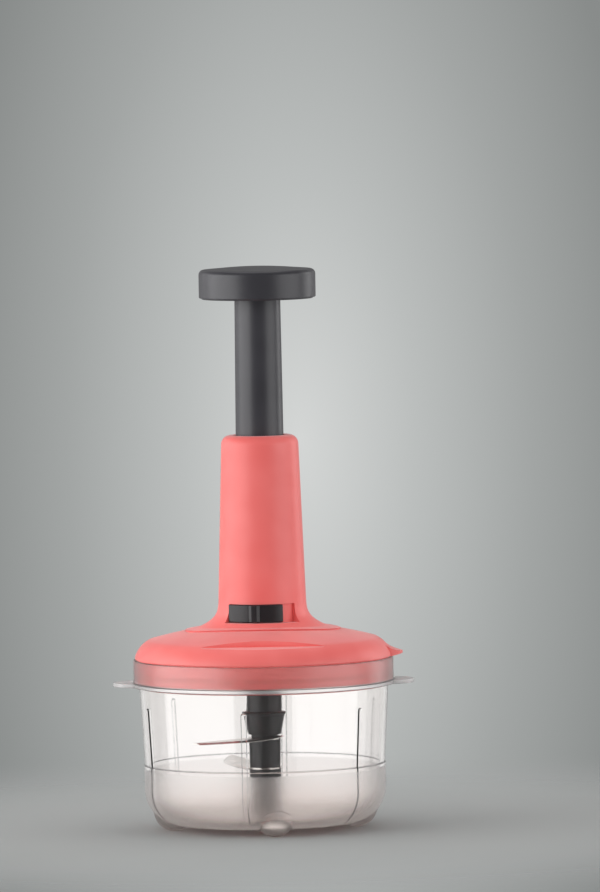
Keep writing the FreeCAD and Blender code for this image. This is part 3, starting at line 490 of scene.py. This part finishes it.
def metal(name, pale, deep, rough, marks, turn=0.0):
    """Metal with marks of a size in mm along X, Y and Z, turned by an angle, and a faint tarnish."""
    finish, tree, place = new_finish(name)
    along = add(tree, "Mapping", {"Vector": place, "Rotation": (0.0, 0.0, math.radians(turn)),
                                  "Scale": Vector(marks) * MM}, vector_type="TEXTURE")
    lines = add(tree, "TexNoise", {"Vector": along.outputs[0], "Scale": 1.0, "Detail": 3.0}).outputs["Fac"]
    tarnish = add(tree, "TexNoise", {"Vector": place, "Scale": 1.0 / (TARNISH_SIZE * MM), "Detail": 2.0})
    colour = add(tree, "ValToRGB", {"Fac": tarnish.outputs["Fac"]}, [(0.35, deep), (0.65, pale)])
    gloss = add(tree, "MapRange", {"Value": lines, "From Min": 0.3, "From Max": 0.7,
                                   "To Min": 0.8 * rough, "To Max": 1.25 * rough})
    bump = add(tree, "Bump", {"Strength": 0.25, "Distance": 0.01 * MM, "Height": lines})
    skin = add(tree, "BsdfPrincipled", {"Base Color": colour.outputs["Color"], "Metallic": 1.0,
                                        "Roughness": gloss.outputs[0], "Normal": bump.outputs[0]})
    add(tree, "OutputMaterial", {"Surface": skin.outputs[0]})
    return finish


def coat(finish, *names):
    """Puts a finish on CAD nodes whose shape is kept."""
    for name in names:
        nodes[name].material_slots[0].material = finish


# Bright zinc plate over turned steel: fine marks round the piece, a slightly blue tone.
zinc_plate = metal("bright_zinc_plate", "#c6cacd", "#b4b9be", 0.22, (0.6, 0.6, 0.06))
coat(zinc_plate, "pivot_pin")


# Blade hub: three black mouldings that clamp the two blades between them; part of their blackness is
# painted shade, as they sit inside the bowl. The foot has a collar and a spigot, the base slips over it,
# and the socket on top takes the drive's splines.

FLOW_SIZE = 16.0


def moulded(name, pale, deep, rough, grain, soft=0.0, bloom=0.0, ior=1.5):
    """Moulded plastic: spark-eroded grain of a size in mm, and faint clouds where it flowed."""
    finish, tree, place = new_finish(name)
    pits = add(tree, "TexNoise", {"Vector": place, "Scale": 1.0 / (grain * MM), "Detail": 3.0})
    fine = pits.outputs["Fac"]
    flow = add(tree, "TexNoise", {"Vector": place, "Scale": 1.0 / (FLOW_SIZE * MM), "Detail": 1.0})
    colour = add(tree, "ValToRGB", {"Fac": flow.outputs["Fac"]}, [(0.35, deep), (0.65, pale)])
    gloss = add(tree, "MapRange", {"Value": fine, "From Min": 0.3, "From Max": 0.7,
                                   "To Min": rough - 0.04, "To Max": rough + 0.04})
    bump = add(tree, "Bump", {"Strength": 0.3, "Distance": 0.012 * MM, "Height": fine})
    skin = add(tree, "BsdfPrincipled", {
        "Base Color": colour.outputs["Color"], "Roughness": gloss.outputs[0], "IOR": ior,
        "Normal": bump.outputs[0], "Subsurface Weight": soft, "Subsurface Scale": 1.5 * MM,
        "Sheen Weight": bloom, "Sheen Roughness": 0.35})
    add(tree, "OutputMaterial", {"Surface": skin.outputs[0]})
    return finish


# Black polypropylene, satin from a spark-eroded mould, darker than the charcoal: on the slider that is its
# own colour, and on the hub inside the bowl it is partly painted shade.
black_and_painted_shade = moulded("moulded_black_polypropylene_and_painted_shade", "#201f22", "#1c1b1e", 0.36, 0.4)

SPIGOT_R, SPIGOT_RISE, HUB_BORE, HUB_R, HUB_LOW_R = 4.6, 7.4, 2.05, 7.7, 7.4
SLEEVE_R = SPIGOT_R + 0.05
FOOT_LOW, LOW_BLADE, HUB_BASE_LOW, HIGH_BLADE = 24.6, 29.0, 29.8, 43.3
SLEEVE_TOP, HUB_BASE_TOP, SOCKET_UNDER, SOCKET_LOW = 36.45, 51.5, 51.55, 44.1
NECK_R, NECK_TOP, CONE_R, CONE_WIDE_R, CONE_TOP = 6.4, 45.6, 8.0, 9.8, 55.0
BRIM_R, BRIM_TOP, SOCKET_R, SOCKET_TOP, SOCKET_BORE, SOCKET_FLOOR = 10.3, 56.4, 8.5, 72.7, 5.9, 53.0
CORE_HOLE = 0.5
hub_foot = lathe("hub_foot_moulding", rounded([
    (HUB_BORE, FOOT_LOW, 0.2), (HUB_R, FOOT_LOW, 0.5), (HUB_R, LOW_BLADE, 0.3), (SPIGOT_R, LOW_BLADE, 0),
    (SPIGOT_R, LOW_BLADE + SPIGOT_RISE, 0.3), (HUB_BORE, LOW_BLADE + SPIGOT_RISE, 0.2)]),
    closed=True, ring=SMALL_RING)
hub_base = lathe("hub_base_moulding", rounded([
    (SLEEVE_R, HUB_BASE_LOW, 0), (HUB_LOW_R, HUB_BASE_LOW, 0.3), (HUB_R, HIGH_BLADE, 0.3),
    (SPIGOT_R, HIGH_BLADE, 0), (SPIGOT_R, HUB_BASE_TOP, 0.3), (HUB_BORE, HUB_BASE_TOP, 0.2),
    (HUB_BORE, SLEEVE_TOP, 0), (SLEEVE_R, SLEEVE_TOP, 0)]), closed=True, ring=SMALL_RING)
hub_socket = lathe("hub_socket_moulding", rounded([
    (CORE_HOLE, SOCKET_UNDER, 0), (SLEEVE_R, SOCKET_UNDER, 0), (SLEEVE_R, SOCKET_LOW, 0.2),
    (NECK_R, SOCKET_LOW, 0.3), (NECK_R, NECK_TOP, 0.2), (CONE_R, NECK_TOP, 0.5),
    (CONE_WIDE_R, CONE_TOP, 0.3), (BRIM_R, CONE_TOP, 0.3), (BRIM_R, BRIM_TOP, 0.3),
    (SOCKET_R, BRIM_TOP, 0.4), (SOCKET_R, SOCKET_TOP, 0.5), (SOCKET_BORE, SOCKET_TOP, 0.5),
    (SOCKET_BORE, SOCKET_FLOOR, 0.3), (CORE_HOLE, SOCKET_FLOOR, 0)]), ring=SMALL_RING)

# Six teeth stand in the socket's bore, for the drive's splines.
TOOTH_CENTRE, TOOTH_DEEP, TOOTH_WIDE, TOOTH_TALL, TOOTH_MIDDLE_Z = 5.85, 2.3, 1.8, 18.7, 62.35
bpy.ops.object.select_all(action="DESELECT")
bpy.ops.mesh.primitive_cube_add(size=1.0, location=(TOOTH_CENTRE * MM, 0, TOOTH_MIDDLE_Z * MM))
tooth = bpy.context.object
tooth.scale = (TOOTH_DEEP * MM, TOOTH_WIDE * MM, TOOTH_TALL * MM)
settle(tooth)
change(tooth, "BEVEL", width=0.25 * MM, segments=3)
combine(hub_socket, joined(spun_copies(tooth, 6, 90.0)), "UNION")
for piece, node in ((hub_foot, "hub_foot"), (hub_base, "hub_base"), (hub_socket, "hub_socket")):
    smooth(piece)
    install(piece, "blade_set", node, black_and_painted_shade)


# Blades: two sickle blades stamped from stainless strip and ground to an edge on their front,
# each with a ring that the hub clamps. The grinding lines run along each blade.

GRINDING = (9.0, 0.09, 0.09)
BLADE_ANGLES = (("blade_lower", 113.5), ("blade_upper", -128.0))
for node, turn in BLADE_ANGLES:
    coat(metal("ground_stainless_" + node, "#d4d1cd", "#c6c3bf", 0.2, GRINDING, turn), node)


# Lid shell: one moulding in coral ABS. A low dome carries the tall tower, with an oval flare
# on a thin plinth between them, a thumb recess across the front, a pull tab on the right and
# a shallow track round the foot of the tower for the lock. Three screw bosses stand inside.

def swept(name, points, start, end, steps=36):
    """Section of radius and height carried round the axis, between angles from the front."""
    def place(i, j):
        radius, height = points[i % len(points)]
        turn = math.radians(start + (end - start) * j / steps)
        return Vector((radius * math.sin(turn), -radius * math.cos(turn), height)) * MM
    return mapped(name, len(points), steps, place)


def prism(name, points, half, turn=0.0):
    """Bar with an outline of reach and height, centred on +X and turned about the axis."""
    piece = mapped(name, len(points), 1, lambda i, j: Vector((
        points[i % len(points)][0], half * (2 * j - 1), points[i % len(points)][1])) * MM)
    piece.rotation_euler.z = math.radians(turn)
    settle(piece)
    return piece


def arc(start, through, end, steps=8):
    """Points of the circle through three points, both ends included."""
    (ax, ay), (bx, by), (cx, cy) = start, through, end
    span = 2.0 * (ax * (by - cy) + bx * (cy - ay) + cx * (ay - by))
    a, b, c = ax * ax + ay * ay, bx * bx + by * by, cx * cx + cy * cy
    centre = Vector(((a * (by - cy) + b * (cy - ay) + c * (ay - by)) / span,
                     (a * (cx - bx) + b * (ax - cx) + c * (bx - ax)) / span))
    arms = [Vector(point) - centre for point in (start, through, end)]
    sweep = arms[1].angle_signed(arms[0]) + arms[2].angle_signed(arms[1])
    first = math.atan2(arms[0].y, arms[0].x)
    reach = arms[0].length
    turns = [first + sweep * k / steps for k in range(steps + 1)]
    return [centre + reach * Vector((math.cos(turn), math.sin(turn))) for turn in turns]


LID_LOW, LID_LAND, LID_R, LID_WALL, DOME_TOP, TOWER_TOP = 82.5, 1.0, 61.6, 2.2, 99.0, 189.4
EDGE_R, EDGE_DROP, EDGE_BULGE, EDGE_BULGE_INSIDE = 54.7, 7.4, (58.95, 88.35), (56.75, 87.54)
CROWN_BALL = (EDGE_R ** 2 + EDGE_DROP ** 2) / (2.0 * EDGE_DROP)
TOWER_FOOT_R, TOWER_TOP_R, TOWER_ROUND, MOUTH_R, BARREL_TOP = 21.4, 18.4, 4.5, 12.3, 187.2
TOWER_MIDDLE, DOME_RINGS, CEILING_RINGS = 150.0, 9, (28.0, 37.0, 45.0)
FLARE_LOW, FLARE_HIGH, FLARE_SIDE, FLARE_FRONT, FLARE_POWER = 95.0, 111.0, 17.0, 7.1, 3.5
FLARE_SHARES = (0.08, 0.1, 0.12, 0.14, 0.165, 0.19, 0.22, 0.26, 0.3, 0.35, 0.41, 0.48, 0.56, 0.66, 0.8, 1.0)
PLINTH_WIDE, PLINTH_DEEP, PLINTH_STEP = 37.4, 28.0, 0.7
# The plinth's edge, as distances out from its outline and up from the dome: it stands out over
# a fine shadow gap.
PLINTH_EDGE = ((0.3, 0.0), (0.0, -0.15), (-0.6, -0.3), (-0.65, 0.1), (-0.1, 0.45), (0.0, 0.55),
               (-0.1, 0.66), (-0.35, PLINTH_STEP))


def crown(radius):
    """Height of the dome's outside."""
    return DOME_TOP - CROWN_BALL + math.sqrt(CROWN_BALL ** 2 - radius ** 2)


def tower_radius(height):
    """Outer radius of the tower at a height."""
    share = max(0.0, height - DOME_TOP) / (TOWER_TOP - DOME_TOP)
    return TOWER_FOOT_R + share * (TOWER_TOP_R - TOWER_FOOT_R)


def hoops(points):
    """Round rings at heights of their own."""
    return [(radius, radius, height, None) for radius, height in points]


# Each ring has a half width, a half depth, a height, and its least rise over the crown. The
# outside comes first, from the lid's lower edge up to the tower's mouth, then the inside.
rings = hoops(rounded([(LID_R - LID_WALL, LID_LOW, 0), (LID_R, LID_LOW, 0.3),
                       (LID_R, LID_LOW + LID_LAND, 0)]))
rings += hoops(arc((LID_R, LID_LOW + LID_LAND), EDGE_BULGE, (EDGE_R, crown(EDGE_R)))[1:])
for k in range(1, DOME_RINGS):
    rings.append((EDGE_R + (PLINTH_WIDE - EDGE_R) * k / DOME_RINGS,
                  EDGE_R + (PLINTH_DEEP - EDGE_R) * k / DOME_RINGS, 0.0, 0.0))
for outward, lift in PLINTH_EDGE:
    rings.append((PLINTH_WIDE + outward, PLINTH_DEEP + outward, 0.0, lift))
for share in FLARE_SHARES:
    height = FLARE_LOW + share * (FLARE_HIGH - FLARE_LOW)
    flare = (1.0 - share) ** FLARE_POWER
    rings.append((tower_radius(height) + FLARE_SIDE * flare, tower_radius(height) + FLARE_FRONT * flare,
                  height, PLINTH_STEP))
rings += hoops(rounded([
    (tower_radius(TOWER_MIDDLE), TOWER_MIDDLE, 0), (TOWER_TOP_R, TOWER_TOP, TOWER_ROUND),
    (MOUTH_R, TOWER_TOP, 0.6), (MOUTH_R, BARREL_TOP, 0),
    (tower_radius(BARREL_TOP) - LID_WALL, BARREL_TOP, 0)]))
rings += [(radius, radius, 0.0, -LID_WALL) for radius in (TOWER_FOOT_R - LID_WALL,) + CEILING_RINGS]
inner_r = EDGE_R - LID_WALL
rings += hoops(arc((inner_r, crown(inner_r) - LID_WALL), EDGE_BULGE_INSIDE,
                   (LID_R - LID_WALL, LID_LOW + LID_LAND)))
rings.append(rings[0])


def lid_place(i, j):
    """Where a point of the lid's grid goes: round the axis, and from ring to ring."""
    wide, deep, height, lift = rings[j]
    turn = 2.0 * math.pi * i / RING
    radius = wide * deep / math.hypot(wide * math.sin(turn), deep * math.cos(turn))
    if lift is not None:
        height = max(height, crown(radius) + lift)
    return Vector((radius * math.cos(turn), radius * math.sin(turn), height)) * MM


lid = mapped("lid_moulding", RING, len(rings) - 1, lid_place)

# The recess is cut with a bar across the front, and a skin under it keeps the dome closed.
NOTCH_BACK, NOTCH_BEND, NOTCH_CORNER, NOTCH_LIP = 46.6, (47.4, 92.8), (47.7, 90.9), (63.0, 90.0)
NOTCH_HIGH, NOTCH_HALF, NOTCH_SKIN, SKIN_SINK = 100.0, 32.0, 1.8, 0.4
SKIN_BULGE, SKIN_RINGS = (58.6, 88.1), (46.0, 36.0, 24.0, 12.0, 0.5)
roll = [tuple(point) for point in arc((NOTCH_BACK, crown(NOTCH_BACK) + 0.1), NOTCH_BEND, NOTCH_CORNER)]
recess = [(NOTCH_BACK, NOTCH_HIGH)] + roll + [NOTCH_LIP, (NOTCH_LIP[0], NOTCH_HIGH)]
backed = [(x - NOTCH_SKIN, z - NOTCH_SKIN) for x, z in recess[:-1]]
backing = prism("notch_backing", backed + [(backed[-1][0], NOTCH_HIGH)], NOTCH_HALF + 1.0, -90.0)
dome = lathe("dome_solid", arc((LID_R - SKIN_SINK, LID_LOW + LID_LAND), SKIN_BULGE,
                               (EDGE_R, crown(EDGE_R) - SKIN_SINK))
             + [Vector((radius, crown(radius) - SKIN_SINK)) for radius in SKIN_RINGS])
combine(backing, dome, "INTERSECT")

# The pull tab is a thin round tongue that runs up the dome's edge.
TAB_TIP, TAB_TOP, TAB_UNDER, TAB_R, TAB_MIDDLE, TAB_ROOT = 67.0, 84.7, 83.6, 9.0, 58.0, 58.2
TAB_SAG, TAB_RUN_OUT = (62.3, 85.8), (57.8, 88.7)
CUT_TALL, CUT_MIDDLE, TRIM_LOW, TRIM_HIGH = 20.0, 85.0, 80.0, 95.0
tab_top = [tuple(point) for point in arc((TAB_TIP, TAB_TOP), TAB_SAG, TAB_RUN_OUT)]
tab_under = [(58.0, 84.5), (60.2, LID_LOW), (LID_R, LID_LOW), (TAB_TIP, TAB_UNDER)]
tab = prism("pull_tab", tab_top + tab_under, TAB_R + 1.0)
bpy.ops.object.select_all(action="DESELECT")
bpy.ops.mesh.primitive_cylinder_add(vertices=SMALL_RING, radius=TAB_R * MM, depth=CUT_TALL * MM,
                                    location=(TAB_MIDDLE * MM, 0, CUT_MIDDLE * MM))
disc = bpy.context.object
settle(disc)
combine(tab, disc, "INTERSECT")
combine(tab, lathe("tab_trim", rounded([(TAB_ROOT, TRIM_LOW, 0), (TAB_ROOT, TRIM_HIGH, 0)])), "DIFFERENCE")
change(tab, "BEVEL", width=0.4 * MM, segments=3, limit_method="ANGLE", angle_limit=math.radians(40.0))

BOSS_BORE, BOSS_R, BOSS_LOW, BOSS_HIGH, BOSS_CIRCLE = 1.4, 4.0, 75.8, 93.0, 40.0
boss = lathe("screw_boss", rounded([
    (BOSS_BORE, BOSS_LOW, 0), (BOSS_R, BOSS_LOW, 0.2), (BOSS_R, BOSS_HIGH, 0), (BOSS_BORE, BOSS_HIGH, 0)]),
    closed=True, ring=48)
boss.location.x = BOSS_CIRCLE * MM
settle(boss)
combine(lid, joined([backing, tab] + spun_copies(boss, 3, 60.0)), "UNION")

# The track widens by a little where it runs out through the flare. Angles are from the front.
TRACK_LOW, TRACK_HIGH, TRACK_R, TRACK_ANGLES = 100.4, 109.2, 19.8, (-48.2, 47.0)
WIDENS_FROM, WIDENS_TO, WIDENS_BY, TRACK_OUT = 20.9, 22.0, 0.2, 40.0
WINDOW_IN, WINDOW_OUT, WINDOW_LOW, WINDOW_HIGH, WINDOW_ANGLES = 15.0, 21.0, 101.6, 108.0, (-21.3, 20.1)
track = swept("lock_track", [
    (TRACK_R, TRACK_LOW), (WIDENS_FROM, TRACK_LOW), (WIDENS_TO, TRACK_LOW - WIDENS_BY),
    (TRACK_OUT, TRACK_LOW - WIDENS_BY), (TRACK_OUT, TRACK_HIGH + WIDENS_BY),
    (WIDENS_TO, TRACK_HIGH + WIDENS_BY), (WIDENS_FROM, TRACK_HIGH), (TRACK_R, TRACK_HIGH)], *TRACK_ANGLES)
window = swept("finger_window", [
    (WINDOW_IN, WINDOW_LOW), (WINDOW_OUT, WINDOW_LOW), (WINDOW_OUT, WINDOW_HIGH),
    (WINDOW_IN, WINDOW_HIGH)], *WINDOW_ANGLES)
for cutter in (prism("notch", recess, NOTCH_HALF, -90.0), track, window):
    combine(lid, cutter, "DIFFERENCE")
smooth(lid)

# Coral ABS, satin from a spark-eroded mould.
coral = moulded("moulded_coral_abs", "#ef726e", "#eb6a66", 0.42, 0.4, bloom=0.3)
install(lid, "lid", "lid_shell", coral)


# Inner moulding of the lid: a coral floor with a skirt that plugs the bowl's rim, closed by
# six pan-head screws from below and sealed by a silicone ring with two lips in its groove.

# A lighter coral ABS than the shell's.
coat(moulded("moulded_light_coral_abs", "#ff8581", "#fb7c78", 0.4, 0.4), "lid_plug")
coat(zinc_plate, "lid_screws", "barrel_screws")
SEAL_IN, SEAL_ROOT, SEAL_OUT, SEAL_LOW, SEAL_HIGH = 58.9, 59.9, 60.3, 74.2, 76.4
SEAL_LIP, SEAL_MIDDLE = 0.6, 1.1
seal = lathe("seal_ring", rounded([
    (SEAL_IN, SEAL_LOW, 0.2), (SEAL_OUT, SEAL_LOW, 0.25), (SEAL_OUT, SEAL_LOW + SEAL_LIP, 0.25),
    (SEAL_ROOT, SEAL_LOW + SEAL_MIDDLE, 0.2), (SEAL_OUT, SEAL_HIGH - SEAL_LIP, 0.25),
    (SEAL_OUT, SEAL_HIGH, 0.25), (SEAL_IN, SEAL_HIGH, 0.2)]), closed=True)
smooth(seal)
# Silicone in a paler coral, a little translucent.
silicone = moulded("moulded_coral_silicone", "#f58a84", "#f0827c", 0.45, 0.8, soft=0.3, ior=1.41)
install(seal, "lid", "lid_seal", silicone)


# Guide barrel: a charcoal tube screwed to the lid's floor inside the tower. Acetal bushes in
# its mouth and its web guide the plunger and carry the shaft, and a zinc-plated ring on the
# web takes the spring.

# Charcoal polypropylene, satin from a spark-eroded mould.
charcoal = moulded("moulded_charcoal_polypropylene", "#3a393e", "#353439", 0.38, 0.4)
coat(charcoal, "guide_barrel")
# Natural acetal: waxy off-white, a little translucent.
acetal = moulded("moulded_natural_acetal", "#e8e5dc", "#e1ddd3", 0.36, 0.6, soft=0.25, ior=1.48)
coat(acetal, "mouth_bush", "shaft_bearing")
coat(zinc_plate, "spring_seat")


# Return spring: drawn spring wire, coiled with its end turns closed, that stands on the seat
# and lifts the plunger. It shortens as the plunger goes down.

WIRE_R, COIL_R, SPRING_LOW, SPRING_HIGH = 0.6, 7.9, 87.2, 153.4
OPEN_TURNS, END_TURNS, TURN_STEPS, WIRE_SIDES = 6.0, 1.0, 40, 14
END_PITCH = 2.0 * WIRE_R + 0.05


def coil_place(i, j):
    """Where a point of the spring's grid goes: round the wire, and up the coil."""
    turns = j / TURN_STEPS
    total = OPEN_TURNS + 2.0 * END_TURNS
    closed = 2.0 * END_TURNS * END_PITCH
    pitch = (SPRING_HIGH - SPRING_LOW - 2.0 * WIRE_R - closed) / OPEN_TURNS
    height = (min(turns, END_TURNS) + max(0.0, turns - total + END_TURNS)) * END_PITCH
    height += min(max(0.0, turns - END_TURNS), OPEN_TURNS) * pitch
    round_wire = 2.0 * math.pi * i / WIRE_SIDES
    radius = COIL_R + WIRE_R * math.cos(round_wire)
    turn = 2.0 * math.pi * turns
    return Vector((radius * math.cos(turn), radius * math.sin(turn),
                   SPRING_LOW + WIRE_R + height + WIRE_R * math.sin(round_wire))) * MM


spring = mapped("spring_coil", WIRE_SIDES, int((OPEN_TURNS + 2.0 * END_TURNS) * TURN_STEPS), coil_place)
smooth(spring, 50.0)
# Drawn and oil-tempered spring wire, darker than the plated pieces.
wire = metal("drawn_spring_wire", "#a9a7a4", "#8f8d8a", 0.28, (0.5, 0.5, 0.5))
install(spring, "lid", "return_spring", wire)
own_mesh(spring)


# Drive: a bright steel strip twisted one turn in 25 mm, on a round journal. A charcoal nose
# with six splines is pressed on its lower end, under a washer, and a clip holds it up.

coat(zinc_plate, "twisted_shaft", "thrust_washer")
coat(charcoal, "drive_nose")
coat(wire, "shaft_clip")


# Plunger: a charcoal tube that tapers to the top, with a latch recess low down, an acetal
# ring that slides in the barrel and an acetal nut with the twisted slot in its lower end.

coat(charcoal, "plunger_tube")
coat(acetal, "guide_ring", "twist_nut")


# Knob: a flat palm knob in two charcoal mouldings. The base is screwed to the tube from above
# and the crowned cap snaps over its edge and hides the screw.

KNOB_LOW, KNOB_R, KNOB_SIDE_TOP, KNOB_TOP, KNOB_ROUND = 254.7, 28.0, 268.7, 270.3, 2.5
KNOB_RISE = KNOB_TOP - KNOB_SIDE_TOP
KNOB_BALL = ((KNOB_R - KNOB_ROUND) ** 2 + KNOB_RISE ** 2) / (2 * KNOB_RISE)
CAP_MIDDLE, CAP_RINGS, CAP_LOW, CAP_SEAT_R = 0.4, (5.0, 10.0, 15.0, 20.0), 0.6, 26.85
CAP_BORE, CAP_CEILING, CAP_CEILING_MIDDLE = 25.8, 266.4, 267.4
PLATE_R, PLATE_TOP, STEM_R, STEM_TOP = 26.8, 257.0, 13.25, 265.0
TUBE_R, TUBE_TOP, SCREW_R = 11.05, 263.0, 1.7


def knob_crown(radius):
    """Height of the cap's top."""
    return KNOB_TOP - KNOB_BALL + math.sqrt(KNOB_BALL ** 2 - radius ** 2)


knob_cap = lathe("knob_cap_moulding", rounded(
    [(radius, knob_crown(radius), 0) for radius in (CAP_MIDDLE,) + CAP_RINGS] + [
        (KNOB_R, knob_crown(KNOB_R - KNOB_ROUND), KNOB_ROUND), (KNOB_R, KNOB_LOW + CAP_LOW, 0.5),
        (CAP_SEAT_R, KNOB_LOW + CAP_LOW, 0.1), (CAP_SEAT_R, PLATE_TOP, 0), (CAP_BORE, PLATE_TOP, 0.2),
        (CAP_BORE, CAP_CEILING, 1.2), (CAP_MIDDLE, CAP_CEILING_MIDDLE, 0)]))
knob_base = lathe("knob_base_moulding", rounded([
    (TUBE_R, KNOB_LOW, 0.3), (PLATE_R, KNOB_LOW, 0.5), (PLATE_R, PLATE_TOP, 0.2), (STEM_R, PLATE_TOP, 0.8),
    (STEM_R, STEM_TOP, 0.4), (SCREW_R, STEM_TOP, 0), (SCREW_R, TUBE_TOP, 0), (TUBE_R, TUBE_TOP, 0.2)]),
    closed=True)
for piece, node in ((knob_base, "knob_base"), (knob_cap, "knob_cap")):
    smooth(piece)
    install(piece, "plunger", node, charcoal)
coat(zinc_plate, "knob_screw")


# Lock slider: a curved black plate in the track, with a thumb ridge. Its finger goes through
# the tower and turns into the plunger's latch recess when the plunger is down.

SLIDE_IN, SLIDE_OUT, SLIDE_LOW, SLIDE_HIGH, SLIDE_ANGLES = 20.05, 22.1, 100.6, 109.0, (-47.6, 27.0)
FINGER_IN, FINGER_OUT, FINGER_LOW, FINGER_HIGH, FINGER_ANGLES = 10.4, 20.4, 102.2, 107.4, (-19.3, -1.3)
# The ridge's outline from above, as distances across and out from the axis.
RIDGE_OUTLINE = ((-2.8, 21.9), (-1.3, 23.35), (1.3, 23.35), (2.8, 21.9))
RIDGE_ROOT, RIDGE_INSET, RIDGE_ANGLE = 20.6, 0.2, 10.3
slider = swept("lock_plate", [
    (SLIDE_IN, SLIDE_LOW), (SLIDE_OUT, SLIDE_LOW), (SLIDE_OUT, SLIDE_HIGH), (SLIDE_IN, SLIDE_HIGH)],
    *SLIDE_ANGLES)
change(slider, "BEVEL", width=0.5 * MM, segments=4, limit_method="ANGLE", angle_limit=math.radians(40.0))
finger = swept("lock_finger", [
    (FINGER_IN, FINGER_LOW), (FINGER_OUT, FINGER_LOW), (FINGER_OUT, FINGER_HIGH),
    (FINGER_IN, FINGER_HIGH)], *FINGER_ANGLES, 12)
ridge = mapped("thumb_ridge", 4, 3, lambda i, j: Vector((
    RIDGE_OUTLINE[j][1] if i % 4 in (1, 2) else RIDGE_ROOT, RIDGE_OUTLINE[j][0],
    SLIDE_LOW + RIDGE_INSET if i % 4 < 2 else SLIDE_HIGH - RIDGE_INSET)) * MM)
ridge.rotation_euler.z = math.radians(-90.0 - RIDGE_ANGLE)
settle(ridge)
change(ridge, "BEVEL", width=0.3 * MM, segments=3, limit_method="ANGLE", angle_limit=math.radians(30.0))
for other in (finger, ridge):
    combine(slider, other, "UNION")
smooth(slider)
install(slider, "lock", "lock_slider", black_and_painted_shade)
